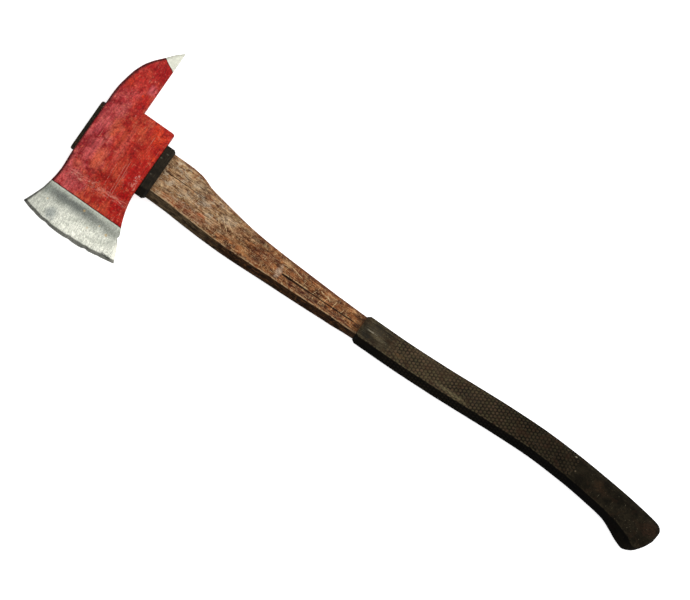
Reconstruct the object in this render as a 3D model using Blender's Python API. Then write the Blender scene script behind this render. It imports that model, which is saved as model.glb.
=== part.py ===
"""A pick-head fire axe: forged steel head, octagonal wooden haft, rubber collar and rubber grip.

The axe lies on its side. The origin is on the surface that it lies on, under the centre of the eye.
+X runs along the haft from the head to the butt, +Y points to the pick, -Y to the cutting edge, +Z up.
Every length below is in millimetres. Z is measured here from the axe's middle plane, and the mesh
builder lifts it by half the head's thickness and turns millimetres into metres.
"""

import math

import bmesh
import bpy
from mathutils import Vector

MM = 0.001
GAP = 0.3  # clearance between two pieces that touch on the real axe

# ---- driving dimensions ----
HEAD_THICKNESS = 34.0  # across the cheeks, the thickest place of the axe
MID_HEIGHT = HEAD_THICKNESS / 2  # of the middle plane above the resting surface
HEAD_HALF_HEIGHT = 48.75  # half the head's height along the haft, at the eye
EDGE_BEVEL = 1.6  # chamfer round the head's outline

POLL_Y = 54.6  # the flat poll beside the pick
POLL_CORNER = 3.3  # radius of the poll's outer corner
COLUMNS = 4  # of the head's mesh, on each side of X = 0
BRACKET_FACE = [46.0, 39.5]  # rows that give a bracket's peg faces of their own, clear of the collar
CHEEK_Y = 33.0  # the cheeks are flat between -CHEEK_Y and +CHEEK_Y
BEVEL_START_Y = -98.8  # where the ground bevel of the blade begins
HONED_WIDTH = 4.4  # the narrow honed bevel at the cutting edge
TOE_FLARE = 1.0  # how each side of the blade flares below the bevel's start: 1 is straight, less is bulged
HEEL_FLARE = 0.75
TOE_FACET = 3.9  # widths of the facets along the blade's two sides, at its corners
HEEL_FACET = 6.5
# The cutting edge from the toe, on the top side, to the heel: Y along X.
EDGE_LINE = [
    (-64.6, -127.6), (-52.0, -131.4), (-26.6, -135.9), (-2.0, -137.4), (25.0, -136.6),
    (51.0, -133.3), (79.2, -128.7),
]
PICK_TIP_Y = 148.2
PICK_TIP_WIDTH = 1.2
EDGE_HALF_THICKNESS = 0.25

# Half the head's thickness along Y, from the cutting edge's bevel to the tip of the pick.
THICKNESS_LINE = [
    (BEVEL_START_Y, 3.4), (-92.0, 4.5), (-85.2, 5.5), (-75.0, 6.7), (-60.0, 9.0), (-45.0, 13.2),
    (-CHEEK_Y, 17.0), (CHEEK_Y, 17.0), (45.0, 16.2), (POLL_Y, 14.4), (75.0, 10.6), (100.0, 6.9),
    (125.0, 3.5), (141.0, 1.5), (PICK_TIP_Y, 0.6),
]
HONED_HALF_THICKNESS = 1.7  # where the ground bevel meets the honed one
SIDE_HALF_THICKNESS = 0.5  # of the blade's two sides, at its corners

# The outline on the top side of the head: X along Y, from the bevel to the tip.
TOP_LINE = [
    (BEVEL_START_Y, -52.9), (-85.2, -50.0), (-74.0, -48.3), (-63.7, -47.7), (-50.0, -48.3),
    (-38.0, -HEAD_HALF_HEIGHT), (37.0, -HEAD_HALF_HEIGHT), (53.3, -48.9), (65.0, -48.2),
    (76.7, -46.2), (89.7, -43.4), (104.0, -38.2), (117.0, -30.0), (129.4, -19.2), (139.5, -10.7),
    (PICK_TIP_Y, -PICK_TIP_WIDTH),
]
# The outline on the haft's side, from the bevel to the poll. The pick's own underside is straight, at X = 0.
UNDER_LINE = [
    (BEVEL_START_Y, 63.9), (-95.6, 64.8), (-85.2, 60.5), (-72.8, 55.6), (-59.8, 51.8), (-45.0, 49.1),
    (-38.0, HEAD_HALF_HEIGHT), (POLL_Y - POLL_CORNER, HEAD_HALF_HEIGHT),
]

# The eye is an hourglass oval: (X, half length along Y, half width along Z).
EYE_SECTIONS = [(-HEAD_HALF_HEIGHT, 31.0, 10.5), (5.0, 29.3, 9.2), (HEAD_HALF_HEIGHT, 30.5, 10.0)]
EYE_ROUNDNESS = 2.5  # exponent of the oval, 2 being an ellipse

# The haft, as (X, back Y, belly Y, half depth, arris along Y, arris along Z).
HAFT_STATIONS = [
    (HEAD_HALF_HEIGHT + GAP, 33.9, -34.0, 13.6, 11.7, 8.0),
    (90.0, 33.8, -34.5, 13.6, 11.7, 8.0),
    (104.0, 32.6, -35.2, 13.6, 11.5, 8.0),
    (112.5, 31.0, -35.8, 13.5, 11.5, 8.0),
    (129.0, 25.1, -36.7, 13.3, 11.5, 7.8),
    (155.0, 20.2, -37.8, 13.1, 11.2, 7.6),
    (181.0, 15.7, -38.3, 13.0, 11.0, 7.5),
    (207.0, 12.0, -37.8, 12.9, 10.8, 7.4),
    (246.0, 8.9, -36.4, 12.7, 10.5, 7.2),
    (298.0, 6.6, -34.7, 12.5, 10.2, 7.0),
    (345.0, 4.7, -32.7, 12.4, 10.0, 7.0),
]
# The grip's outside as pairs of points, back and belly: ((X, Y), (X, Y), half depth, arris Y, arris Z).
GRIP_STATIONS = [
    ((393.9, 7.4), (393.9, -34.1), 15.6, 11.2, 8.6),
    ((441.0, 7.5), (441.0, -33.9), 15.6, 11.2, 8.6),
    ((506.0, 9.5), (506.0, -32.1), 15.6, 11.2, 8.6),
    ((562.0, 12.8), (562.0, -29.2), 15.6, 11.1, 8.6),
    ((610.0, 15.4), (610.0, -26.5), 15.6, 11.0, 8.6),
    ((662.0, 16.7), (662.0, -25.0), 15.6, 11.0, 8.6),
    ((714.0, 15.1), (714.0, -27.1), 15.8, 10.6, 8.6),
    ((766.0, 11.3), (762.0, -31.8), 16.3, 10.4, 8.6),
    ((800.0, 8.0), (788.0, -35.8), 16.8, 10.6, 8.4),
    ((824.0, 5.0), (805.0, -42.7), 17.0, 14.4, 9.0),
    ((842.0, 2.2), (823.0, -50.8), 17.0, 16.6, 9.4),
    ((853.0, -0.2), (831.5, -53.0), 16.6, 14.0, 8.6),
    ((859.2, -4.6), (842.0, -49.0), 15.6, 7.4, 5.6),
    ((860.9, -9.0), (854.0, -35.5), 13.8, 3.4, 3.2),
    ((861.1, -13.0), (860.0, -23.5), 10.0, 2.4, 2.4),
]
GRIP_LIP_X = 389.4  # the grip's chamfered front edge
GRIP_LIP_STEP = 1.0  # how far the lip's front stands proud of the wood
RUBBER_WALL = 3.3
RINGS_PER_SPAN = 2  # rings lofted between two stations
CORNER_POINTS = 3  # points that round each arris of the haft
BACK_ARRIS = 0.45  # the back's chamfers as a share of the belly's
ARRIS_SOFTNESS = 1.0  # how far each arris is rounded along its two faces

COLLAR_LENGTH = 14.0
COLLAR_CHAMFER = 3.3
COLLAR_WALL = 4.1  # on the back and the belly
COLLAR_SIDE_WALL = 3.0
COLLAR_THIN = 0.8  # of the wall left at the chamfer's end
COLLAR_ARRIS_GROWTH = 0.3  # how much wider its own chamfers are than the haft's, as a share of its wall

PLATE_THICKNESS = 4.7
PLATE_HALF_LENGTH = 37.3
PLATE_HALF_WIDTH = 14.5
PLATE_CORNER = 9.0
PLATE_EDGE = 2.4  # radius of the rounded outer edge
PLATE_ARC_STEPS = 6

KERF_BOTTOM_X = 18.0
KERF_MOUTH_HALF = 4.3
KERF_BOTTOM_HALF = 0.8
WEDGE_BOTTOM_X = 12.0
WEDGE_HALF_LENGTH = 27.4
WEDGE_BOTTOM_HALF_LENGTH = 26.4

STEEL_WEDGE_Y = 11.0  # each steel wedge's distance from the eye's centre
STEEL_WEDGE_LENGTH = 26.0
STEEL_WEDGE_HALF_WIDTH = 7.8
STEEL_WEDGE_HEAD = 3.4  # thickness at its struck end
STEEL_WEDGE_TIP = 0.6

SCREW_Y = 22.0
SCREW_LENGTH = 28.0
SCREW_SHANK_R = 1.8
SCREW_HEAD_R = 4.1
SCREW_HEAD_DEPTH = 2.5
SCREW_SLOT_WIDTH = 1.1
SCREW_SLOT_DEPTH = 1.1
SCREW_SIDES = 20
SCREW_TAPER = 5.0  # length of the shank's pointed end
SCREW_POINT_R = 0.6
SCREW_POINT_LENGTH = 0.8

# Colours as (red, green, blue), roughness, metallic.
PAINT_RED = ((0.42, 0.035, 0.025), 0.55, 0.0)
HICKORY = ((0.30, 0.17, 0.09), 0.75, 0.0)
WEDGE_WOOD = ((0.45, 0.33, 0.20), 0.8, 0.0)
BLACK_RUBBER = ((0.020, 0.018, 0.014), 0.8, 0.0)
BLACK_STEEL = ((0.025, 0.022, 0.017), 0.6, 0.6)
BARE_STEEL = ((0.45, 0.45, 0.42), 0.4, 1.0)


# ---- shared helpers ----
def along(line, x):
    """The value at x of a smooth line through (x, value) points, which never overshoots them."""
    xs = [p[0] for p in line]
    ys = [p[1] for p in line]
    if x <= xs[0]:
        return ys[0]
    if x >= xs[-1]:
        return ys[-1]
    i = max(k for k in range(len(xs) - 1) if xs[k] <= x)
    slopes = [(ys[k + 1] - ys[k]) / (xs[k + 1] - xs[k]) for k in range(len(xs) - 1)]

    def tangent(k):
        if k == 0 or k == len(xs) - 1:
            return slopes[min(k, len(slopes) - 1)]
        before, after = slopes[k - 1], slopes[k]
        return 0.0 if before * after <= 0 else 2 * before * after / (before + after)

    span = xs[i + 1] - xs[i]
    t = (x - xs[i]) / span
    return (
        (1 + 2 * t) * (1 - t) ** 2 * ys[i]
        + t * (1 - t) ** 2 * span * tangent(i)
        + t * t * (3 - 2 * t) * ys[i + 1]
        + t * t * (t - 1) * span * tangent(i + 1)
    )


def make_material(name, finish):
    colour, roughness, metallic = finish
    material = bpy.data.materials.new(name)
    material.use_nodes = True
    shader = material.node_tree.nodes["Principled BSDF"]
    shader.inputs["Base Color"].default_value = (*colour, 1.0)
    shader.inputs["Roughness"].default_value = roughness
    shader.inputs["Metallic"].default_value = metallic
    return material


def make_object(name, bm, material=None):
    """An object from a bmesh whose points are in millimetres with Z from the middle plane. Without a
    material it is a cutter."""
    bmesh.ops.recalc_face_normals(bm, faces=bm.faces)
    for vert in bm.verts:
        vert.co *= MM
    mesh = bpy.data.meshes.new(name)
    bm.to_mesh(mesh)
    bm.free()
    mesh.shade_smooth()
    mesh.set_sharp_from_angle(angle=math.radians(30))
    obj = bpy.data.objects.new(name, mesh)
    obj.location = (0, 0, MID_HEIGHT * MM)
    if material:
        mesh.materials.append(material)
    else:
        obj.hide_render = True
        obj.display_type = "WIRE"
    bpy.context.scene.collection.objects.link(obj)
    return obj


def loft(rings):
    """A bmesh closed round rings of points, each ring with the same number of them."""
    bm = bmesh.new()
    made = [[bm.verts.new(p) for p in ring] for ring in rings]
    for near, far in zip(made, made[1:]):
        for k in range(len(near)):
            bm.faces.new((near[k - 1], near[k], far[k], far[k - 1]))
    bm.faces.new(made[0])
    bm.faces.new(made[-1])
    return bm


def cut(target, cutter, name):
    modifier = target.modifiers.new(name, "BOOLEAN")
    modifier.operation = "DIFFERENCE"
    modifier.object = cutter


def octagon(back, belly, half_depth, arris_y, arris_z):
    """A ring of points round the haft between two points, back and belly: wide chamfers at the belly,
    narrow ones at the back, and every corner softened."""
    back, belly = Vector((*back, 0)), Vector((*belly, 0))
    width = (back - belly).length
    across = (back - belly) / width
    flat = half_depth - arris_z
    back_flat = half_depth - BACK_ARRIS * arris_z
    back_start = width - BACK_ARRIS * arris_y
    corners = [
        (width, back_flat), (back_start, half_depth), (arris_y, half_depth), (0, flat),
        (0, -flat), (arris_y, -half_depth), (back_start, -half_depth), (width, -back_flat),
    ]
    corners = [Vector(c) for c in corners]
    ring = []
    for k, corner in enumerate(corners):
        start = corner + softening(corners[k - 1] - corner)
        end = corner + softening(corners[(k + 1) % 8] - corner)
        for step in range(CORNER_POINTS):
            t = step / (CORNER_POINTS - 1)
            point = (1 - t) ** 2 * start + 2 * t * (1 - t) * corner + t * t * end
            ring.append(belly + across * point.x + Vector((0, 0, point.y)))
    return ring


def softening(side):
    """How far along a side a corner's rounding reaches, so that two corners never meet."""
    return side.normalized() * min(ARRIS_SOFTNESS, 0.4 * side.length)


def oval(x, half_length, half_width, inset=0.0):
    """A ring of points round the eye, matched to an octagon's points in number and order."""
    count = 8 * CORNER_POINTS
    ring = []
    for k in range(count):
        angle = 2 * math.pi * (k - 1) / count + math.radians(22.5)
        cosine, sine = math.cos(angle), math.sin(angle)
        reach = (abs(cosine) ** EYE_ROUNDNESS + abs(sine) ** EYE_ROUNDNESS) ** (-1 / EYE_ROUNDNESS)
        ring.append(Vector((x, (half_length - inset) * reach * cosine, (half_width - inset) * reach * sine)))
    return ring


# ---- head ----
def under_x(y):
    """The outline's X on the haft's side at y, with the poll's rounded corner."""
    into_corner = y - (POLL_Y - POLL_CORNER)
    if into_corner <= 0:
        return along(UNDER_LINE, y)
    return HEAD_HALF_HEIGHT - POLL_CORNER + math.sqrt(max(POLL_CORNER**2 - into_corner**2, 0))


def half_thickness(y):
    return along(THICKNESS_LINE, y)


def evenly(low, high, count):
    return [low + (high - low) * k / count for k in range(count + 1)]


def head_rows():
    """Rows of (x, y, half thickness) across the head, from the tip of the pick to the cutting edge.
    A row on the pick ends at X = 0, and a row below the poll goes on to the haft's side."""
    pick_rows, body_rows, blade_rows = 9, 5, 6
    rows = []
    for k in range(pick_rows):
        y = PICK_TIP_Y + (POLL_Y + EDGE_BEVEL - PICK_TIP_Y) * (k / (pick_rows - 1)) ** 1.5
        rows.append(pick_row(y, half_thickness(y)))
    poll_ys = [POLL_Y, POLL_Y - 0.25 * POLL_CORNER, POLL_Y - EDGE_BEVEL, POLL_Y - POLL_CORNER]
    neck_ys = [-39.0, -45.0, -52.0, -60.0, -68.0, -76.0, -85.2, -92.0, -95.6, BEVEL_START_Y]
    for y in poll_ys + BRACKET_FACE + evenly(CHEEK_Y, -CHEEK_Y, body_rows) + neck_ys:
        rows.append(full_row(y, half_thickness(y)))
    for k in range(1, blade_rows + 1):
        rows.append(blade_row(k, blade_rows))
    return rows


def pick_row(y, thick):
    """A row of the pick, bevelled at both ends."""
    left = along(TOP_LINE, y)
    bevel = min(EDGE_BEVEL, -left / 3, thick / 2)
    inner = [(x, y, thick) for x in evenly(left + bevel, -bevel, COLUMNS)]
    return [(left, y, thick - bevel)] + inner + [(0.0, y, thick - bevel)]


def full_row(y, thick):
    """A row from the top side to the haft's side, bevelled at both ends and along the poll."""
    left, right = along(TOP_LINE, y), under_x(y)
    poll_drop = EDGE_BEVEL * max(0.0, 1 - (POLL_Y - y) / EDGE_BEVEL)
    row = [(left, y, thick - EDGE_BEVEL)]
    row += [(x, y, thick) for x in evenly(left + EDGE_BEVEL, 0.0, COLUMNS + 1)]
    row += [(x, y, thick - poll_drop) for x in evenly(0.0, right - EDGE_BEVEL, COLUMNS)[1:]]
    return row + [(right, y, thick - EDGE_BEVEL)]


def blade_row(k, count):
    """Row k of count down the ground bevel. The last is the cutting edge, and the honed bevel is between
    it and the one before."""
    start = full_row(BEVEL_START_Y, half_thickness(BEVEL_START_Y))
    left, right = start[0][0], start[-1][0]
    (toe_x, _), (heel_x, _) = EDGE_LINE[0], EDGE_LINE[-1]
    row = []
    for column, (x0, _, thick0) in enumerate(start):
        edge_x = toe_x + (heel_x - toe_x) * (x0 - left) / (right - left)
        edge = along(EDGE_LINE, edge_x)
        share = min(k / (count - 1), 1)
        y = edge if k == count else BEVEL_START_Y + (edge + HONED_WIDTH - BEVEL_START_Y) * share
        thick = EDGE_HALF_THICKNESS if k == count else thick0 + (HONED_HALF_THICKNESS - thick0) * share
        if column in (0, len(start) - 1):
            thick = min(thick, thick0 + (SIDE_HALF_THICKNESS - thick0) * share)
        depth = (y - BEVEL_START_Y) / (edge - BEVEL_START_Y)
        low = left + (toe_x - left) * depth**TOE_FLARE
        high = right + (heel_x - right) * depth**HEEL_FLARE
        inner_low = low + EDGE_BEVEL + (TOE_FACET - EDGE_BEVEL) * depth
        inner_high = high - EDGE_BEVEL - (HEEL_FACET - EDGE_BEVEL) * depth
        inside = (x0 - left - EDGE_BEVEL) / (right - left - 2 * EDGE_BEVEL)
        x = inner_low + (inner_high - inner_low) * inside
        ends = {0: low, len(start) - 1: high}
        row.append((ends.get(column, x), y, thick))
    return row


def make_head(material):
    """The forging: two mirrored faces over the rows, closed round the outline, with the eye cut through."""
    rows = head_rows()
    bm = bmesh.new()
    sides = []
    for sign in (1, -1):
        sides.append([[bm.verts.new((x, y, sign * z)) for x, y, z in row] for row in rows])
    for grid in sides:
        for upper, lower in zip(grid, grid[1:]):
            for k in range(min(len(upper), len(lower)) - 1):
                bm.faces.new((upper[k], upper[k + 1], lower[k + 1], lower[k]))
    front, back = sides
    pick_count = len(rows[0])
    first_full = next(i for i, row in enumerate(rows) if len(row) > pick_count)
    outline = [(i, 0) for i in range(len(rows))]
    outline += [(len(rows) - 1, k) for k in range(1, len(rows[-1]))]
    outline += [(i, len(rows[i]) - 1) for i in range(len(rows) - 2, first_full - 1, -1)]
    outline += [(first_full, k) for k in range(len(rows[first_full]) - 2, pick_count - 2, -1)]
    outline += [(i, pick_count - 1) for i in range(first_full - 1, -1, -1)]
    outline += [(0, k) for k in range(pick_count - 2, 0, -1)]
    for (i, k), (m, n) in zip(outline, outline[1:] + outline[:1]):
        bm.faces.new((front[i][k], front[m][n], back[m][n], back[i][k]))
    head = make_object("axe_head", bm, material)
    beyond = 12.0
    (top_x, top_a, top_b), middle, (low_x, low_a, low_b) = EYE_SECTIONS
    eye = make_object("eye_cutter", loft([
        oval(top_x - beyond, top_a, top_b), oval(top_x, top_a, top_b), oval(*middle),
        oval(low_x, low_a, low_b), oval(low_x + beyond, low_a, low_b),
    ]))
    cut(head, eye, "eye")
    return head


# ---- haft and what holds the head on it ----
def rings_between(stations, count):
    """Stations of (back, belly, half depth, arris Y, arris Z) with count spans between each two given."""
    rows = [(*back, *belly, *rest) for back, belly, *rest in stations]
    places = [0.0]
    for near, far in zip(rows, rows[1:]):
        step = math.dist(near[:2], far[:2]) + math.dist(near[2:4], far[2:4])
        places.append(places[-1] + step)
    made = []
    for k in range(len(rows) - 1):
        for step in range(count):
            place = places[k] + (places[k + 1] - places[k]) * step / count
            made.append(mixed_station(places, rows, place))
    made.append(mixed_station(places, rows, places[-1]))
    return made


def mixed_station(places, rows, place):
    values = [along(list(zip(places, column)), place) for column in zip(*rows)]
    return (Vector(values[0:2]), Vector(values[2:4]), *values[4:])


def inset_stations(stations, inset):
    """The same stations moved in from the surface by inset, along the outline's own normals."""
    backs = [Vector(s[0]) for s in stations]
    bellies = [Vector(s[1]) for s in stations]
    outline = backs + bellies[::-1]
    moved = []
    for k, point in enumerate(outline):
        before = outline[max(k - 1, 0)]
        after = outline[min(k + 1, len(outline) - 1)]
        direction = (after - before).normalized()
        moved.append(point + Vector((direction.y, -direction.x)) * inset)
    count = len(stations)
    made = []
    for k, (_, _, depth, arris_y, arris_z) in enumerate(stations):
        made.append((moved[k], moved[2 * count - 1 - k], depth - inset, arris_y, arris_z))
    return made


def core_stations(inset):
    """Stations inside the grip, from its lip to the butt, moved in from its outside by inset."""
    inside = inset_stations(GRIP_STATIONS, inset)
    back, belly, *rest = inside[0]
    return [((GRIP_LIP_X, back.y), (GRIP_LIP_X, belly.y), *rest)] + inside


def haft_stations():
    """Stations of the bare haft, from the head's underside to its end inside the grip."""
    visible = [((x, back), (x, belly), *rest) for x, back, belly, *rest in HAFT_STATIONS]
    return visible + core_stations(RUBBER_WALL + GAP)


def make_haft(material):
    tenon = [oval(x, a, b, GAP) for x, a, b in EYE_SECTIONS]
    body = [octagon(*station) for station in rings_between(haft_stations(), RINGS_PER_SPAN)]
    last_eye = EYE_SECTIONS[-1]
    tenon.append(oval(HAFT_STATIONS[0][0], last_eye[1], last_eye[2], GAP))
    haft = make_object("haft", loft(tenon + body), material)
    cut(haft, kerf_cutter(), "kerf")
    return haft


def slab(x_low, x_high, half_y, half_z, y=0.0):
    """Eight points of a slab centred on y, whose half sizes are given at its low and its high end."""
    rings = []
    for x, hy, hz in ((x_low, half_y[0], half_z[0]), (x_high, half_y[1], half_z[1])):
        rings.append([
            Vector((x, y + hy, hz)), Vector((x, y - hy, hz)),
            Vector((x, y - hy, -hz)), Vector((x, y + hy, -hz)),
        ])
    return loft(rings)


def kerf_half(x):
    """Half the kerf's width at x: it tapers from the tenon's end to its bottom."""
    share = (x + HEAD_HALF_HEIGHT) / (KERF_BOTTOM_X + HEAD_HALF_HEIGHT)
    return KERF_MOUTH_HALF + (KERF_BOTTOM_HALF - KERF_MOUTH_HALF) * share


def kerf_cutter():
    mouth_x = -HEAD_HALF_HEIGHT - 10.0
    wide = 40.0
    return make_object("kerf_cutter", slab(
        mouth_x, KERF_BOTTOM_X, (wide, wide), (kerf_half(mouth_x), KERF_BOTTOM_HALF)))


def make_kerf_wedge(material):
    top_x = -HEAD_HALF_HEIGHT
    return make_object("kerf_wedge", slab(
        top_x, WEDGE_BOTTOM_X, (WEDGE_HALF_LENGTH, WEDGE_BOTTOM_HALF_LENGTH),
        (kerf_half(top_x) - GAP, kerf_half(WEDGE_BOTTOM_X) - GAP)), material)


def steel_wedge_slab(y, grow, top_x):
    bottom_x = -HEAD_HALF_HEIGHT + STEEL_WEDGE_LENGTH + grow
    half_width = STEEL_WEDGE_HALF_WIDTH + grow
    return slab(
        top_x, bottom_x,
        (STEEL_WEDGE_HEAD / 2 + grow, STEEL_WEDGE_TIP / 2 + grow),
        (half_width, half_width), y)


def make_steel_wedges(material, haft, wood_wedge):
    """Two wedges driven across the kerf, each in a slot through the tenon and the wooden wedge."""
    for name, y in (("steel_wedge_pick_side", STEEL_WEDGE_Y), ("steel_wedge_edge_side", -STEEL_WEDGE_Y)):
        make_object(name, steel_wedge_slab(y, 0.0, -HEAD_HALF_HEIGHT), material)
        slot = make_object(name + "_slot", steel_wedge_slab(y, GAP, -HEAD_HALF_HEIGHT - 1.0))
        cut(haft, slot, name)
        cut(wood_wedge, slot, name)


def turned(profile, y):
    """A solid turned about a line along X at y, from (x, radius) points, the radius 0 at both ends."""
    bm = bmesh.new()
    rings = []
    for x, radius in profile:
        if radius == 0:
            rings.append([bm.verts.new((x, y, 0.0))])
            continue
        ring = []
        for k in range(SCREW_SIDES):
            angle = 2 * math.pi * k / SCREW_SIDES
            ring.append(bm.verts.new((x, y + radius * math.cos(angle), radius * math.sin(angle))))
        rings.append(ring)
    for near, far in zip(rings, rings[1:]):
        for k in range(SCREW_SIDES):
            corners = [near[k - 1], near[k], far[k], far[k - 1]] if len(near) > 1 and len(far) > 1 else (
                [near[0], far[k], far[k - 1]] if len(near) == 1 else [near[k - 1], near[k], far[0]])
            bm.faces.new(corners)
    return bm


def screw_profile(grow, above):
    """The screw's outline from its head to its point. The cutter for its hole is larger by grow all round."""
    face_x = -HEAD_HALF_HEIGHT - GAP - PLATE_THICKNESS
    neck_x = face_x + SCREW_HEAD_DEPTH
    point_x = face_x + SCREW_LENGTH
    profile = [(face_x - above, 0.0), (face_x - above, SCREW_HEAD_R + grow)]
    if above:
        profile.append((face_x + grow, SCREW_HEAD_R + grow))
    return profile + [
        (neck_x + grow, SCREW_SHANK_R + grow), (point_x - SCREW_TAPER, SCREW_SHANK_R + grow),
        (point_x - SCREW_POINT_LENGTH + grow, SCREW_POINT_R + grow), (point_x + grow, 0.0),
    ]


def make_plate_and_screws(plate_material, screw_material, wood_wedge):
    """The plate over the eye, and the two countersunk screws that hold it to the wooden wedge."""
    inner_x = -HEAD_HALF_HEIGHT - GAP
    outer_x = inner_x - PLATE_THICKNESS
    rings = [plate_ring(inner_x, 0.0)]
    for k in range(PLATE_ARC_STEPS // 2 + 1):
        angle = math.pi / 2 * k / (PLATE_ARC_STEPS // 2)
        rings.append(plate_ring(
            outer_x + PLATE_EDGE * (1 - math.sin(angle)), PLATE_EDGE * (1 - math.cos(angle))))
    plate = make_object("head_plate", loft(rings), plate_material)
    for name, y in (("plate_screw_pick_side", SCREW_Y), ("plate_screw_edge_side", -SCREW_Y)):
        screw = make_object(name, turned(screw_profile(0.0, 0.0), y), screw_material)
        hole = make_object(name + "_hole", turned(screw_profile(GAP, 3.0), y))
        cut(plate, hole, name)
        cut(wood_wedge, hole, name)
        slot = make_object(name + "_drive", slab(
            outer_x - 1.0, outer_x + SCREW_SLOT_DEPTH,
            (2 * SCREW_HEAD_R,) * 2, (SCREW_SLOT_WIDTH / 2,) * 2, y))
        cut(screw, slot, "drive slot")


def plate_ring(x, inset):
    """The plate's outline at x, a rectangle with round corners, moved in by inset."""
    half_y = PLATE_HALF_LENGTH - inset
    half_z = PLATE_HALF_WIDTH - inset
    radius = PLATE_CORNER - inset
    ring = []
    for quarter in range(4):
        y_sign = 1 if quarter in (0, 3) else -1
        z_sign = 1 if quarter in (0, 1) else -1
        for step in range(PLATE_ARC_STEPS + 1):
            angle = math.pi / 2 * (quarter + step / PLATE_ARC_STEPS)
            ring.append(Vector((
                x, y_sign * (half_y - radius) + radius * math.cos(angle),
                z_sign * (half_z - radius) + radius * math.sin(angle))))
    return ring


# ---- rubber ----
def haft_section(x, grow_y, grow_z):
    """The haft's octagon at x near the head, grown outwards."""
    _, back, belly, depth, arris_y, arris_z = HAFT_STATIONS[0]
    return octagon(
        (x, back + grow_y), (x, belly - grow_y), depth + grow_z,
        arris_y + COLLAR_ARRIS_GROWTH * grow_y, arris_z + COLLAR_ARRIS_GROWTH * grow_z)


def make_collar(material):
    """The collar round the haft's shoulder, chamfered towards the haft."""
    near_x = HEAD_HALF_HEIGHT + GAP
    far_x = near_x + COLLAR_LENGTH
    rings = [
        haft_section(near_x, GAP, GAP),
        haft_section(near_x, COLLAR_WALL, COLLAR_SIDE_WALL),
        haft_section(far_x - COLLAR_CHAMFER, COLLAR_WALL, COLLAR_SIDE_WALL),
        haft_section(far_x, GAP + COLLAR_THIN, GAP + COLLAR_THIN),
        haft_section(far_x, GAP, GAP),
    ]
    bm = bmesh.new()
    made = [[bm.verts.new(p) for p in ring] for ring in rings]
    for near, far in zip(made, made[1:] + made[:1]):
        for k in range(len(near)):
            bm.faces.new((near[k - 1], near[k], far[k], far[k - 1]))
    return make_object("head_collar", bm, material)


def make_grip(material):
    """The moulded sleeve over the lower haft, closed over the butt and open towards the head."""
    outside = rings_between(GRIP_STATIONS, RINGS_PER_SPAN)
    cavity = rings_between(core_stations(RUBBER_WALL), RINGS_PER_SPAN)
    back, belly, depth, arris_y, arris_z = cavity[0]
    step = Vector((0, GRIP_LIP_STEP))
    front = (back + step, belly - step, depth + GRIP_LIP_STEP, arris_y, arris_z)
    rings = [octagon(*r) for r in cavity[::-1]] + [octagon(*front)] + [octagon(*r) for r in outside]
    return make_object("grip_sleeve", loft(rings), material)


def main():
    for obj in list(bpy.data.objects):
        bpy.data.objects.remove(obj)
    paint = make_material("red_paint", PAINT_RED)
    wood = make_material("hickory", HICKORY)
    pale_wood = make_material("wedge_wood", WEDGE_WOOD)
    rubber = make_material("black_rubber", BLACK_RUBBER)
    black_steel = make_material("black_steel", BLACK_STEEL)
    steel = make_material("bare_steel", BARE_STEEL)
    make_head(paint)
    haft = make_haft(wood)
    wood_wedge = make_kerf_wedge(pale_wood)
    make_steel_wedges(steel, haft, wood_wedge)
    make_plate_and_screws(black_steel, steel, wood_wedge)
    make_collar(rubber)
    make_grip(rubber)


main()
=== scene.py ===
"""The looks of a pick-head fire axe: worn red paint, bare steel, weathered wood and dusty black rubber.

The pieces are modelled in millimetres on the CAD model's own outlines, with Z measured from the axe's
middle plane, and lifted into the frame in metres when the mesh is made.
"""

import math

import bpy
import numpy as np
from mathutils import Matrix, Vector, noise


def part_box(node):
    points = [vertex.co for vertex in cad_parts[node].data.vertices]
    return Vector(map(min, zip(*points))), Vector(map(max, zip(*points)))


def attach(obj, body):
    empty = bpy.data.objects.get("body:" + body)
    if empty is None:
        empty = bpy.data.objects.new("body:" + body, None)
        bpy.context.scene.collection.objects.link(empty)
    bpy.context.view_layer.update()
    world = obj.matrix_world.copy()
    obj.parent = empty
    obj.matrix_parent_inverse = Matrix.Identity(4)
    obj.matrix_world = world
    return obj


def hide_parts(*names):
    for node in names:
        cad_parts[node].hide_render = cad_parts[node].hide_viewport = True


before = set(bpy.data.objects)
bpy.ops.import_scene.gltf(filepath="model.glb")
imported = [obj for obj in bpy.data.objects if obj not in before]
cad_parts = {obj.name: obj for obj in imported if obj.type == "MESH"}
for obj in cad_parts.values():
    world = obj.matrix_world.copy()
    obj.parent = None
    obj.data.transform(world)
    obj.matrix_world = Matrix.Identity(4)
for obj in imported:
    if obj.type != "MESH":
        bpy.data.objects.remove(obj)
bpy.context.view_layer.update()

# ---- sizes shared with the CAD model, in millimetres ----
MM = 0.001
GAP = 0.3
HEAD_LOW, HEAD_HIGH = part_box("axe_head")
MID_HEIGHT = (HEAD_LOW.z + HEAD_HIGH.z) / 2 / MM
HALF_HEIGHT = 48.75  # half the head's height along the haft, at the eye
POLL_Y = 54.6
POLL_CORNER = 3.3
CHEEK_Y = 33
BEVEL_START_Y = -98.8
TOE_FLARE = 1.0
HEEL_FLARE = 0.75
TOE_FACET = 3.9
HEEL_FACET = 6.5
EDGE_LINE = [
    (-64.6, -127.6), (-52, -131.4), (-26.6, -135.9), (-2, -137.4), (25, -136.6), (51, -133.3), (79.2, -128.7),
]
PICK_TIP_Y = 148.2
EDGE_HALF_THICKNESS = 0.25
HONED_HALF_THICKNESS = 1.7
SIDE_HALF_THICKNESS = 0.5
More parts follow.
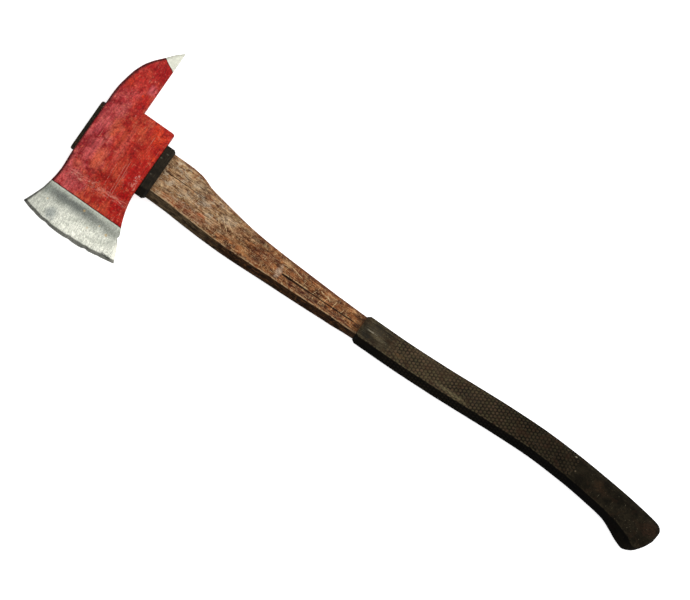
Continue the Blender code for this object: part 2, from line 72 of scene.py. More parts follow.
THICKNESS_LINE = [
    (BEVEL_START_Y, 3.4), (-92, 4.5), (-85.2, 5.5), (-75, 6.7), (-60, 9), (-45, 13.2), (-CHEEK_Y, 17),
    (CHEEK_Y, 17), (45, 16.2), (POLL_Y, 14.4), (75, 10.6), (100, 6.9), (125, 3.5), (141, 1.5),
    (PICK_TIP_Y, 0.6),
]
TOP_LINE = [
    (BEVEL_START_Y, -52.9), (-85.2, -50), (-74, -48.3), (-63.7, -47.7), (-50, -48.3), (-38, -HALF_HEIGHT),
    (37, -HALF_HEIGHT), (53.3, -48.9), (65, -48.2), (76.7, -46.2), (89.7, -43.4), (104, -38.2), (117, -30),
    (129.4, -19.2), (139.5, -10.7), (PICK_TIP_Y, -1.2),
]
UNDER_LINE = [
    (BEVEL_START_Y, 63.9), (-95.6, 64.8), (-85.2, 60.5), (-72.8, 55.6), (-59.8, 51.8), (-45, 49.1),
    (-38, HALF_HEIGHT), (POLL_Y - POLL_CORNER, HALF_HEIGHT),
]
EYE_SECTIONS = [(-HALF_HEIGHT, 31, 10.5), (5, 29.3, 9.2), (HALF_HEIGHT, 30.5, 10)]
EYE_ROUNDNESS = 2.5
# The haft, as (X, back Y, belly Y, half depth, arris along Y, arris along Z).
HAFT_STATIONS = [
    (HALF_HEIGHT + GAP, 33.9, -34.0, 13.6, 11.7, 8.0),
    (90, 33.8, -34.5, 13.6, 11.7, 8.0),
    (104, 32.6, -35.2, 13.6, 11.5, 8.0),
    (112.5, 31.0, -35.8, 13.5, 11.5, 8.0),
    (129, 25.1, -36.7, 13.3, 11.5, 7.8),
    (155, 20.2, -37.8, 13.1, 11.2, 7.6),
    (181, 15.7, -38.3, 13.0, 11.0, 7.5),
    (207, 12.0, -37.8, 12.9, 10.8, 7.4),
    (246, 8.9, -36.4, 12.7, 10.5, 7.2),
    (298, 6.6, -34.7, 12.5, 10.2, 7.0),
    (345, 4.7, -32.7, 12.4, 10.0, 7.0),
]
# The grip's outside as pairs of points, back and belly: ((X, Y), (X, Y), half depth, arris Y, arris Z).
GRIP_STATIONS = [
    ((393.9, 7.4), (393.9, -34.1), 15.6, 11.2, 8.6),
    ((441, 7.5), (441, -33.9), 15.6, 11.2, 8.6),
    ((506, 9.5), (506, -32.1), 15.6, 11.2, 8.6),
    ((562, 12.8), (562, -29.2), 15.6, 11.1, 8.6),
    ((610, 15.4), (610, -26.5), 15.6, 11.0, 8.6),
    ((662, 16.7), (662, -25.0), 15.6, 11.0, 8.6),
    ((714, 15.1), (714, -27.1), 15.8, 10.6, 8.6),
    ((766, 11.3), (762, -31.8), 16.3, 10.4, 8.6),
    ((800, 8.0), (788, -35.8), 16.8, 10.6, 8.4),
    ((824, 5.0), (805, -42.7), 17.0, 14.4, 9.0),
    ((842, 2.2), (823, -50.8), 17.0, 16.6, 9.4),
    ((853, -0.2), (831.5, -53.0), 16.6, 14.0, 8.6),
    ((859.2, -4.6), (842, -49.0), 15.6, 7.4, 5.6),
    ((860.9, -9.0), (854, -35.5), 13.8, 3.4, 3.2),
    ((861.1, -13.0), (860, -23.5), 10.0, 2.4, 2.4),
]
GRIP_LIP_X = 389.4
RUBBER_WALL = 3.3
BACK_ARRIS = 0.45  # size of the back's two chamfers, as a share of the belly's
COLLAR_LENGTH = 14
COLLAR_CHAMFER = 3.3
COLLAR_WALL = 4.1
COLLAR_SIDE_WALL = 3.0
COLLAR_THIN = 0.8
COLLAR_ARRIS_GROWTH = 0.3
PLATE_THICKNESS = 4.7
PLATE_HALF_LENGTH = 37.3
PLATE_HALF_WIDTH = 14.5
PLATE_CORNER = 9
PLATE_EDGE = 2.4
KERF_BOTTOM_X = 18
KERF_MOUTH_HALF = 4.3
KERF_BOTTOM_HALF = 0.8
STEEL_WEDGE_Y = 11
STEEL_WEDGE_LENGTH = 26
STEEL_WEDGE_HALF_WIDTH = 7.8
STEEL_WEDGE_HEAD = 3.4
STEEL_WEDGE_TIP = 0.6
SCREW_Y = 22
SCREW_LENGTH = 28
SCREW_SHANK_R = 1.8
SCREW_HEAD_R = 4.1
SCREW_HEAD_DEPTH = 2.5
SCREW_TAPER = 5  # length of its pointed end
SCREW_SLOT = 1.1
PLATE_INNER_X = -HALF_HEIGHT - GAP
SCREW_FACE_X = PLATE_INNER_X - PLATE_THICKNESS
SCREW_NECK_X = SCREW_FACE_X + SCREW_HEAD_DEPTH
SCREW_POINT_X = SCREW_FACE_X + SCREW_LENGTH

# ---- finer shape, seen on the real thing ----
EDGE_RADIUS = 1.8  # of the head's forged edges
PAINT_LINE_Y = -85.2  # the paint stops here, above the blade
TIP_PAINT_LINE = ((-18.2, 129.4), (-0.6, 120.3))  # and here, across the pick
# Width of the honed bevel along X: it was honed by hand, and unevenly.
HONED_LINE = [
    (-59, 4.2), (-46, 4.7), (-27, 4.0), (-7, 4.7), (10, 5.1), (25, 5.8), (38, 4.7), (58, 5.2), (73, 4.8),
]
# Nicks in the cutting edge: X, depth, half width.
NICKS = [(-45, 0.3, 3), (-25, 1, 4.5), (12, 0.9, 4), (37, 1.3, 3.2), (56, 0.4, 2.5)]
GROUND_SHARE = 0.87  # of the blade's mesh, from the bevel's start to the honed bevel
WALL_STRIPS = 10  # of the mesh round the head, from one cheek to the other
HAFT_SOFTNESS = 1.6  # how far the haft's corners are rounded along its sides
HAFT_COUNTS = [5, 0, 13, 10, 13, 34, 5, 26]  # points on each side of the haft but the upper face
UPPER_COUNTS = [10, 1, 1, 12, 1, 1, 20, 1, 1, 14]  # on its upper face, before, in and after each crack
UPPER_ARRIS = (11, 10.8)  # arris sizes at its back and its belly, near enough to follow the cracks by
# Cracks along the grain of the haft's upper face: (start X, end X, Y at each end, half width, depth).
CRACKS = [(63, 94, 23.6, 24.6, 0.45, 0.7), (63, 141, 9.1, 9.4, 0.62, 1.3), (264, 387, -13.8, -11.2, 1.5, 1.8)]
GRIP_LIP = [(0.7, 0.1), (1.0, 0.5), (1.7, 1.8), (2.5, 3.0), (3.1, 3.9)]  # how it swells: (out, along X)
DOTS_X = (428, 723)  # ends of the band of dots
DOT_PITCH = 4.7  # between columns of dots along the grip
DOT_COLUMNS = round((DOTS_X[1] - DOTS_X[0]) / DOT_PITCH)
DOT_RINGS = 6  # rings of the mesh from one column to the next, and points from one row to the next
DOT_ROWS = [1.5, 5.5, 3, 3, 3, 5.5, 1.5, 5]  # rows of dots on each side of the octagon
DOTS_FADE = 16  # length over which they grow to their full height, from the head's end of the band
DOT_HALF_SIZES = (0.50, 0.42)  # along and across the grip, as shares of the pitch
DOT_HEIGHT = 0.5  # of a whole dot
BUTT_X = (846, 852)  # the grip's surface grows smooth between these, towards the butt
# How strongly the dots show round the grip, by place: 1 on the broad faces, less on the chamfers.
DOTTED_PLACES = [0.05, 0.2, 0.95, 1.1, 1.95, 2.05, 2.9, 3.05, 3.95, 4.1, 4.95, 5.05, 5.9, 6.05, 6.8, 6.95]
DOTTED_SHARES = [0, 0.7, 0.8, 1, 1, 0.6, 0.6, 0, 0, 0.6, 0.6, 1, 1, 0.8, 0.7, 0]
COLLAR_COUNTS = [7, 46, 17, 14, 17, 46, 7, 26]  # points on each side of the collar
THREAD_PITCH = 1.5
THREAD_DEPTH = 0.42


# ---- numbers ----
def along(line, x):
    """Values at x of a smooth line through (x, value) points, which never overshoots them."""
    xs, ys = np.array(line, float).T
    slopes = np.diff(ys) / np.diff(xs)
    tangents = np.concatenate([slopes[:1], np.zeros(len(xs) - 2), slopes[-1:]])
    before, after = slopes[:-1], slopes[1:]
    turning = before * after <= 0
    total = np.where(turning, 1.0, before + after)
    tangents[1:-1] = np.where(turning, 0.0, 2 * before * after / total)
    x = np.clip(x, xs[0], xs[-1])
    i = np.clip(np.searchsorted(xs, x, side="right") - 1, 0, len(xs) - 2)
    span = xs[i + 1] - xs[i]
    t = (x - xs[i]) / span
    return (
        (1 + 2 * t) * (1 - t) ** 2 * ys[i]
        + t * (1 - t) ** 2 * span * tangents[i]
        + t * t * (3 - 2 * t) * ys[i + 1]
        + t * t * (t - 1) * span * tangents[i + 1]
    )


def smooth(x, low, high):
    """0 below low and 1 above high, with a smooth change between them. low may be the larger."""
    t = np.clip((x - low) / (high - low), 0, 1)
    return t * t * (3 - 2 * t)


def between(start, end, share):
    return start + (end - start) * share


def steps(low, high, size):
    """Evenly spaced values from low to high, about size apart."""
    return np.linspace(low, high, max(2, round(abs(high - low) / size) + 1))


def circle(count):
    return 2 * np.pi * np.arange(count) / count


def unit(vectors):
    return vectors / (np.linalg.norm(vectors, axis=-1, keepdims=True) + 1e-9)


def rough(points, size, seed, stretch=(1, 1, 1)):
    """Smooth noise from -1 to 1 at each point, with features of about that size."""
    scaled = points.reshape(-1, 3) / size / np.array(stretch) + seed
    values = [noise.noise(p) for p in scaled.tolist()]
    return np.array(values).reshape(points.shape[:-1])


def hollows(points, size, seed, depth):
    """Uneven hollows of about that size, up to about that deep."""
    return np.abs(rough(points, size, seed)) * depth


# ---- meshes ----
def make_piece(name, points, faces, material, sharp=35):
    """An object from points in millimetres. Without a material it is a cutter."""
    mesh = bpy.data.meshes.new(name)
    lifted = (np.asarray(points, float).reshape(-1, 3) + (0, 0, MID_HEIGHT)) * MM
    mesh.from_pydata(lifted.tolist(), [], faces)
    mesh.validate()
    mesh.shade_smooth()
    mesh.set_sharp_from_angle(angle=math.radians(sharp))
    piece = bpy.data.objects.new(name, mesh)
    bpy.context.scene.collection.objects.link(piece)
    if material:
        mesh.materials.append(material)
    return piece


def tube_faces(rings, count, first=0, ends=True):
    """Faces round a stack of rings with count points each, numbered from first."""
    faces = []
    for near in range(first, first + (rings - 1) * count, count):
        far = near + count
        for k in range(count):
            n = (k + 1) % count
            faces.append((near + k, near + n, far + n, far + k))
    if ends:
        last = first + (rings - 1) * count
        faces += [tuple(range(first, first + count))[::-1], tuple(range(last, last + count))]
    return faces


def cut(piece, cutters):
    """Cuts the cutters out of a piece, keeps the result as its mesh and removes the cutters."""
    for cutter in cutters:
        modifier = piece.modifiers.new("cut", "BOOLEAN")
        modifier.operation = "DIFFERENCE"
        modifier.object = cutter
    evaluated = piece.evaluated_get(bpy.context.evaluated_depsgraph_get())
    mesh = bpy.data.meshes.new_from_object(evaluated)
    piece.modifiers.clear()
    piece.data = mesh
    for cutter in cutters:
        bpy.data.objects.remove(cutter)


def points_of(piece):
    """A piece's points in millimetres, with Z from the middle plane."""
    flat = np.zeros(len(piece.data.vertices) * 3)
    piece.data.vertices.foreach_get("co", flat)
    return flat.reshape(-1, 3) / MM - (0, 0, MID_HEIGHT)


def give(piece, name, values):
    """Stores one number for each point, for the materials to read."""
    attribute = piece.data.attributes.new(name, "FLOAT", "POINT")
    attribute.data.foreach_set("value", np.asarray(values, np.float32).ravel())


def place(piece, slot, *nodes):
    """The piece stands for CAD nodes, hides them and moves with the axe. Its slot is not used."""
    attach(piece, "root")
    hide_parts(*nodes)


def normals_of(grid):
    """Outward directions of a grid of rings, each ring running round the axe."""
    round_way = np.roll(grid, -1, axis=1) - np.roll(grid, 1, axis=1)
    out = unit(np.cross(round_way, np.gradient(grid, axis=0)))
    centre = grid.mean(axis=1, keepdims=True)
    return out if ((grid - centre) * out).sum() > 0 else -out


# ---- head ----
def cutting_edge(x):
    """The cutting edge's Y along X, with its nicks."""
    y = along(EDGE_LINE, x)
    for centre, depth, half_width in NICKS:
        y = y + depth * np.exp(-(((x - centre) / half_width) ** 2))
    return y


def blade_depth(x, y):
    """0 where the ground bevel starts, 1 at the cutting edge."""
    return np.clip((BEVEL_START_Y - y) / (BEVEL_START_Y - cutting_edge(x)), 0, 1)


def head_sides(y, depth):
    """The outline's X on the top side and on the haft's side, with the poll's rounded corner."""
    top = along(TOP_LINE, y) + (EDGE_LINE[0][0] - TOP_LINE[0][1]) * depth**TOE_FLARE
    under = along(UNDER_LINE, y) + (EDGE_LINE[-1][0] - UNDER_LINE[0][1]) * depth**HEEL_FLARE
    into = np.clip(y - (POLL_Y - POLL_CORNER), 0, POLL_CORNER)
    under = under - POLL_CORNER + np.sqrt(POLL_CORNER**2 - into**2)
    return top, np.where(y > POLL_Y, 0.0, under)


def to_poll(x, y):
    """How far each point is from the poll or from the pick's underside, whichever it faces."""
    corner = np.hypot(np.minimum(x, 0), np.maximum(POLL_Y - y, 0))
    return np.where(x > 0, POLL_Y - y, np.where(y > POLL_Y, -x, corner))


def rounded(distance, width, straight):
    """0 on an outline and 1 beyond width from it, as an arc or, where straight is 1, a flat facet."""
    t = np.clip(distance / width, 0, 1)
    return straight * t + (1 - straight) * np.sqrt(1 - (1 - t) ** 2)


def head_half_thickness(x, y):
    """Half the head's thickness at each point: its faces, its facets and its rounded edges."""
    edge, depth, honed = cutting_edge(x), blade_depth(x, y), along(HONED_LINE, x)
    share = np.clip((BEVEL_START_Y - y) / (BEVEL_START_Y - edge - honed), 0, 1)
    ending = np.clip((edge + honed - y) / honed, 0, 1)
    face = along(THICKNESS_LINE, y) + (HONED_HALF_THICKNESS - THICKNESS_LINE[0][1]) * share
    face = face + (EDGE_HALF_THICKNESS - HONED_HALF_THICKNESS) * ending
    top, under = head_sides(y, depth)
    radius = np.minimum(EDGE_RADIUS, np.minimum(face * 0.6, (under - top) / 3 + 0.05))
    side = between(face - radius, SIDE_HALF_THICKNESS, np.minimum(share * 1.15, 1))
    side = np.minimum(side, face)
    straight = smooth(depth, 0, 0.25)
    toe = rounded(x - top, between(radius, TOE_FACET, depth), straight)
    heel = rounded(under - x, between(radius, HEEL_FACET, depth), straight)
    poll = rounded(to_poll(x, y), radius, 0)
    return between(side, face, np.minimum(np.minimum(toe, heel), poll))


def head_rows():
    """Y of the rows above the blade, with rows close together at the poll and at the paint's end."""
    poll_turn = POLL_Y - POLL_CORNER * (1 - np.cos(np.linspace(0, math.pi / 2, 9)))
    pick = steps(PICK_TIP_Y, POLL_Y, 1.0)
    body = steps(POLL_Y - POLL_CORNER, PAINT_LINE_Y + 0.4, 1.05)
    neck = steps(PAINT_LINE_Y, BEVEL_START_Y, 0.8)
    return np.concatenate([pick[:-1], poll_turn, body[1:], neck])


def head_row(y, depth):
    """X of one row's points: from the top side to X = 0 and, below the poll, on to the haft's side. They
    lie closer together near the outlines."""
    turn = 1 - np.cos(np.linspace(0, math.pi / 2, 7))
    top, under = (float(side) for side in head_sides(np.array(y), np.array(depth)))
    zone = min(between(EDGE_RADIUS, TOE_FACET, depth), -top / 3)
    start, end = top + zone, -min(EDGE_RADIUS, zone)
    middle = between(start, end, np.linspace(0, 1, 48)[1:-1])
    upper = np.concatenate([top + turn * zone, middle, end * (1 - turn)])
    if y > POLL_Y:
        return upper
    facet = between(EDGE_RADIUS, HEEL_FACET, depth)
    last = under - facet
    return np.concatenate([upper, last * np.linspace(0, 1, 46)[1:], last + facet * (1 - turn[::-1])[1:]])


def blade_rows():
    """Rows down the ground bevel and the honed one: pairs of arrays, X and Y."""
    shares = [(t, 0.0) for t in steps(0, 1, 0.028)[1:]] + [(1.0, t) for t in steps(0, 1, 0.125)[1:]]
    rows = []
    for ground, honed in shares:
        depth = between(GROUND_SHARE * ground, 1, honed)
        x = head_row(BEVEL_START_Y, depth)
        width = along(HONED_LINE, x)
        y = between(BEVEL_START_Y, cutting_edge(x) + width, ground) - width * honed
        start = np.full_like(x, BEVEL_START_Y)
        low, high = head_sides(start, blade_depth(x, y))
        old_low, old_high = head_sides(start, depth)
        rows.append((low + (high - low) * (x - old_low) / (old_high - old_low), y))
    return rows


def dents(x, y):
    """How far the hammered, painted face lies below its true shape."""
    points = np.stack([x, y, 0 * x], axis=-1)
    fine = np.maximum(rough(points, 6, 11), 0) * 0.22
    return (hollows(points, 21, 3, 0.22) + fine) * smooth(y, BEVEL_START_Y, PAINT_LINE_Y + 6) + 0.03


def make_head(material):
    rows = [(x, np.full_like(x, y)) for y in head_rows() for x in [head_row(y, 0)]] + blade_rows()
    points, grids, faces = [], [], []
    for sign in (1, -1):
        grid = []
        for x, y in rows:
            half = head_half_thickness(x, y)
            half = half - np.minimum(dents(x * sign, y), half * 0.1)
            grid.append(range(len(points), len(points) + len(x)))
            points.extend(np.stack([x, y, sign * half], axis=-1).tolist())
        for upper, lower in zip(grid, grid[1:]):
            for k in range(min(len(upper), len(lower)) - 1):
                faces.append((upper[k], lower[k], lower[k + 1], upper[k + 1])[::sign])
        grids.append(grid)
    faces += head_wall(points, *grids)
    head = make_piece("axe_head_forging", points, faces, material, 32)
    cut(head, [eye_cutter()])
    head_attributes(head)
    place(head, "red_paint", "axe_head")


def head_outline(rows):
    """(row, column) of the points round the head, from the tip down the top side and back."""
    pick_count = len(rows[0])
    first = next(i for i, row in enumerate(rows) if len(row) > pick_count)
    outline = [(i, 0) for i in range(len(rows))]
    outline += [(len(rows) - 1, k) for k in range(1, len(rows[-1]))]
    outline += [(i, len(rows[i]) - 1) for i in range(len(rows) - 2, first - 1, -1)]
    outline += [(first, k) for k in range(len(rows[first]) - 2, pick_count - 2, -1)]
    outline += [(i, pick_count - 1) for i in range(first - 1, -1, -1)]
    return outline + [(0, k) for k in range(pick_count - 2, 0, -1)]


def head_wall(points, front, back):
    """The wall that closes the head round its outline, in a few strips with a slightly uneven surface."""
    outline = head_outline(front)
    columns = [[grid[i][k] for i, k in outline] for grid in (front, back)]
    upper, lower = (np.array([points[k] for k in column]) for column in columns)
    thick = np.clip(np.abs(upper[:, 2:3]) / 10, 0, 1)
    for strip in range(1, WALL_STRIPS):
        layer = between(upper, lower, strip / WALL_STRIPS)
        tangent = np.roll(layer, -1, axis=0) - np.roll(layer, 1, axis=0)
        inward = unit(np.stack([-tangent[:, 1], tangent[:, 0], 0 * tangent[:, 0]], axis=-1))
        moved = layer + inward * hollows(layer, 9, 31, 0.25)[:, None] * thick
        columns.insert(-1, range(len(points), len(points) + len(moved)))
        points.extend(moved.tolist())
    faces = []
    for near, far in zip(columns, columns[1:]):
        for k in range(len(outline)):
            n = (k + 1) % len(outline)
            faces.append((near[n], near[k], far[k], far[n]))
    return faces


def oval_ring(x, half_length, half_width, angle):
    """A ring of the eye's oval at x, with a point at each angle."""
    cosine, sine = np.cos(angle), np.sin(angle)
    reach = (abs(cosine) ** EYE_ROUNDNESS + abs(sine) ** EYE_ROUNDNESS) ** (-1 / EYE_ROUNDNESS)
    y, z = half_length * reach * cosine, half_width * reach * sine
    return np.stack([np.full(len(angle), x), y, z], axis=-1)


def eye_cutter():
    beyond = 12
    (top_x, *top), _, (low_x, *low) = EYE_SECTIONS
    sections = [(top_x - beyond, *top)] + EYE_SECTIONS + [(low_x + beyond, *low)]
    rings = np.array([oval_ring(*section, circle(96)) for section in sections])
    return make_piece("eye_cutter", rings, tube_faces(len(rings), len(rings[0])), None)


def head_attributes(head):
    """For each point: how near an outline it is, and the shares of the wall, honed bevel and facets."""
    x, y, z = points_of(head).T
    depth = blade_depth(x, y)
    top, under = head_sides(y, depth)
    face = along(THICKNESS_LINE, y)
    corner = 0.35 + 0.65 * smooth(np.abs(z), 0.55 * face, 0.8 * face)
    beside_plate = smooth(np.abs(y), PLATE_HALF_LENGTH + 4, PLATE_HALF_LENGTH - 1)
    # top_edge and other_edge mark painted shade along the outlines, and where the paint chips there.
    top_edge = 1 - smooth(x - top, 2 - 1.4 * beside_plate, 5.4 - 2.8 * beside_plate)
    other_edge = 1 - smooth(np.minimum(under - x, to_poll(x, y)), 0, 2.2)
    give(head, "wall", np.abs(z) < head_half_thickness(x, y) - 0.8 * EDGE_RADIUS)
    give(head, "top_edge", top_edge * corner)
    give(head, "other_edge", other_edge * corner)
    give(head, "honed", np.clip((cutting_edge(x) + along(HONED_LINE, x) - y) / 0.8 + 0.5, 0, 1))
    toe_width = between(EDGE_RADIUS, TOE_FACET, depth)
    heel_width = between(EDGE_RADIUS, HEEL_FACET, depth)
    toe = 1 - smooth(x - top, 0.7 * toe_width, toe_width + 0.4)
    heel = 1 - smooth(under - x, 0.85 * heel_width, heel_width + 0.4)
    give(head, "toe_facet", toe * (y < PAINT_LINE_Y))
    give(head, "heel_facet", heel * smooth(depth, 0.02, 0.3))


# ---- octagonal sections of haft, grip and collar ----
def places_round(counts):
    """Places round an octagon, each a side's number plus the share along it, with count points a side."""
    return np.concatenate([side + np.arange(count) / count for side, count in enumerate(counts)])


def octagons(back, belly, depth, arris_y, arris_z, places, softness):
    """Points at these places round each octagon, whose corners are softened. Side 0 is the back's upper
    chamfer, 1 the upper face, 2 the belly's upper chamfer, 3 the belly, and so on round."""
    back, belly = np.asarray(back, float), np.asarray(belly, float)
    width = np.linalg.norm(back - belly, axis=1)
    across = (back - belly) / width[:, None]
    upper = np.array([
        (width, depth - BACK_ARRIS * arris_z), (width - BACK_ARRIS * arris_y, depth),
        (arris_y, depth), (0 * width, depth - arris_z),
    ])
    corners = np.concatenate([upper, upper[::-1] * [[1], [-1]]]).transpose(2, 0, 1)
    places = np.broadcast_to(places, (len(width), np.shape(places)[-1]))
    side = np.floor(places + 1e-9).astype(int) % 8
    share = (places - np.floor(places + 1e-9))[..., None]
    rows = np.arange(len(width))[:, None]

    def corner(k):
        return corners[rows, k % 8]

    def softened(middle, before, after, t):
        start = middle + toward(before - middle, softness)
        end = middle + toward(after - middle, softness)
        return (1 - t) ** 2 * start + 2 * t * (1 - t) * middle + t * t * end

    near, far = corner(side), corner(side + 1)
    length = np.linalg.norm(far - near, axis=-1, keepdims=True)
    reach = np.minimum(softness, 0.4 * length)
    from_near, from_far = share * length, (1 - share) * length
    first = softened(near, corner(side - 1), far, 0.5 + 0.5 * np.minimum(from_near / reach, 1))
    last = softened(far, near, corner(side + 2), 0.5 - 0.5 * np.minimum(from_far / reach, 1))
    straight = np.where(from_far < reach, last, between(near, far, share))
    points = np.where(from_near < reach, first, straight)
    plane = belly[:, None, :] + across[:, None, :] * points[..., :1]
    return np.concatenate([plane, points[..., 1:]], axis=-1)


def toward(side, softness):
    """A step along a side that rounds its corner, short enough for two corners never to meet."""
    length = np.linalg.norm(side, axis=-1, keepdims=True)
    return side / length * np.minimum(softness, 0.4 * length)


def resampled(stations, spacing):
    """Stations of (back, belly, half depth, arris Y, arris Z) at new distances, each measure on a smooth
    line. spacing makes the distances from those of the stations and from their X."""
    rows = np.array([(*back, *belly, *rest) for back, belly, *rest in stations], float)
    moves = np.diff(rows[:, :4], axis=0).reshape(-1, 2, 2)
    travelled = np.concatenate([[0], np.cumsum(np.linalg.norm(moves, axis=2).sum(axis=1))])
    where = spacing(travelled, rows[:, 0])
    values = np.array([along(list(zip(travelled, column)), where) for column in rows.T])
    return values[:2].T, values[2:4].T, *values[4:]


def inset_stations(stations, inset):
    """The same stations moved in from the surface by inset, along the outline's own normals."""
    outline = [Vector(s[0]) for s in stations] + [Vector(s[1]) for s in stations][::-1]
    moved = []
    for k, point in enumerate(outline):
        direction = outline[min(k + 1, len(outline) - 1)] - outline[max(k - 1, 0)]
        direction.normalize()
        moved.append(point + Vector((direction.y, -direction.x)) * inset)
    sizes = [(depth - inset, arris_y, arris_z) for _, _, depth, arris_y, arris_z in stations]
    return [(back, belly, *rest) for back, belly, rest in zip(moved, moved[::-1], sizes)]


def core_stations(inset):
    """Stations inside the grip, from its lip to the butt."""
    inside = inset_stations(GRIP_STATIONS, inset)
    back, belly, *rest = inside[0]
    return [((GRIP_LIP_X, back[1]), (GRIP_LIP_X, belly[1]), *rest)] + inside


# ---- haft ----
def haft_line(column, x):
    """One column of the haft's stations as a smooth line, read at each X."""
    return along([(station[0], station[column]) for station in HAFT_STATIONS], x)


def crack_middle(crack, x):
    """Y of a crack's middle."""
    low, high, low_y, high_y, _, _ = crack
    return between(low_y, high_y, np.clip((x - low) / (high - low), 0, 1))


def upper_edges(x, width, belly):
    """Shares along the haft's upper face, at one X, of its two ends and of three points over each crack."""
    start, end = width - BACK_ARRIS * UPPER_ARRIS[0], UPPER_ARRIS[1]
    edges = [0.0]
    for number, crack in enumerate(CRACKS):
        half = crack[4] / (start - end)
        share = (start - (crack_middle(crack, x) - belly)) / (start - end)
        share = max(min(share, 0.9), 0.07 + 0.06 * number, edges[-1] + 2.5 * half)
        edges += [share - half, share, share + half]
    return edges + [1.0]


def haft_places(x, width, belly):
    """Where the points lie round the haft at each X. On the upper face three points follow each crack."""
    sides = [side + np.arange(count) / count for side, count in enumerate(HAFT_COUNTS) if count]
    rings = []
    for ring in zip(x, width, belly):
        edges = upper_edges(*ring)
        upper = []
        for start, end, count in zip(edges, edges[1:], UPPER_COUNTS):
            upper.append(1 + between(start, end, np.arange(count) / count))
        rings.append(np.concatenate([sides[0], *upper, *sides[1:]]))
    return np.array(rings)


def crack_depth(points):
    """How deep the cracks are at each point of the haft. Each is open widest a little after its start."""
    x, y, z = np.moveaxis(points, -1, 0)
    total = np.zeros(x.shape)
    for crack in CRACKS:
        low, high, _, _, half, depth = crack
        open_share = smooth(x, low - 1, low + 6) * smooth(x, high, high - 16)
        open_share = open_share * (1 - 0.5 * smooth(x, low + 10, low + 60))
        total += depth * open_share * np.clip(1 - np.abs(y - crack_middle(crack, x)) / (half * 0.98), 0, 1)
    return total * (z > 0)


def make_haft(material):
    """One length of wood: tenon with its kerf, the octagonal stretch in sight, and the core in the grip."""
    start_x, *_ = HAFT_STATIONS[0]
    end_x, *last = HAFT_STATIONS[-1]
    x = steps(start_x, GRIP_LIP_X + 3, 0.95)
    core = core_stations(RUBBER_WALL + GAP)
    (_, core_back), (_, core_belly), *core_sizes = core[0]
    goals = (core_back, core_belly, *core_sizes)
    shares = [(goal - value) * smooth(x, end_x, GRIP_LIP_X) for goal, value in zip(goals, last)]
    back_y, belly_y, *sizes = [haft_line(k, x) + share for k, share in enumerate(shares, 1)]
    places = haft_places(x, back_y - belly_y, belly_y)
    shown = octagons(np.stack([x, back_y], -1), np.stack([x, belly_y], -1), *sizes, places, HAFT_SOFTNESS)
    fibre = rough(shown, 1.7, 5, (22, 1, 1))
    wear = np.maximum(rough(shown, 7, 17, (2, 1, 1)), 0)
    at_corner = 1 - smooth(np.abs(places - np.round(places)), 0, 0.08)
    sink = 0.05 + 0.10 * (1 + fibre) + 0.35 * wear * at_corner + crack_depth(shown)
    shown = shown - normals_of(shown) * sink[..., None]
    hidden = resampled(core[1:], lambda travelled, xs: steps(0, travelled[-1], 10))
    rings = np.concatenate([tenon_rings(shown[0]), shown, octagons(*hidden, places[-1], HAFT_SOFTNESS)])
    haft = make_piece("wooden_haft", rings, tube_faces(len(rings), rings.shape[1]), material, 40)
    cut(haft, [kerf_cutter()] + [steel_wedge_slot(y) for y in (STEEL_WEDGE_Y, -STEEL_WEDGE_Y)])
    haft_attributes(haft)
    place(haft, "hickory", "haft")


def tenon_rings(first_ring):
    """The tenon in the eye, with its points turned to match the first ring of the haft in sight."""
    angle = np.arctan2(first_ring[:, 2] / 10, first_ring[:, 1] / 30)
    sections = EYE_SECTIONS + [(HAFT_STATIONS[0][0], *EYE_SECTIONS[-1][1:])]
    return np.array([oval_ring(x, length - GAP, width - GAP, angle) for x, length, width in sections])


def slab_cutter(name, x_ends, half_ys, half_zs, y=0):
    """A slab that tapers from its low to its high end."""
    rings = []
    for x, half_y, half_z in zip(x_ends, half_ys, half_zs):
        rings.append([(x, y + a * half_y, b * half_z) for a, b in ((1, 1), (-1, 1), (-1, -1), (1, -1))])
    return make_piece(name, rings, [face[::-1] for face in tube_faces(2, 4)], None)


def kerf_cutter():
    mouth_x = -HALF_HEIGHT - 10
    share = (mouth_x + HALF_HEIGHT) / (KERF_BOTTOM_X + HALF_HEIGHT)
    mouth_half = between(KERF_MOUTH_HALF, KERF_BOTTOM_HALF, share)
    return slab_cutter("kerf_cutter", (mouth_x, KERF_BOTTOM_X), (40, 40), (mouth_half, KERF_BOTTOM_HALF))


def steel_wedge_slot(y):
    ends = (-HALF_HEIGHT - 1, -HALF_HEIGHT + STEEL_WEDGE_LENGTH + GAP)
    half_ys = (STEEL_WEDGE_HEAD / 2 + GAP, STEEL_WEDGE_TIP / 2 + GAP)
    return slab_cutter("wedge_slot", ends, half_ys, [STEEL_WEDGE_HALF_WIDTH + GAP] * 2, y)


def haft_attributes(haft):
    """For each point: how near an arris it is, whether it faces the belly, and how deep a crack is."""
    points = points_of(haft)
    x, y, _ = points.T
    arris = haft_line(2, x) + haft_line(4, x)
    give(haft, "belly", 1 - smooth(y, arris - 0.5, arris + 0.5))
    give(haft, "belly_arris", np.exp(-(((y - arris - 0.3) / 0.9) ** 2)))
    give(haft, "back_arris", 1 - smooth(haft_line(1, x) - y, 1, 5.5))
    give(haft, "crack", crack_depth(points))


# ---- grip ----
def grip_spacing(travelled, xs):
    """Distances of the grip's rings: in step with the dots where they are, and wider apart elsewhere."""
    start, end = np.interp(DOTS_X, xs, travelled)
    band = np.linspace(start, end, DOT_COLUMNS * DOT_RINGS + 1)
    return np.concatenate([steps(0, start, 2.6)[:-1], band, steps(end, travelled[-1], 3)[1:]])


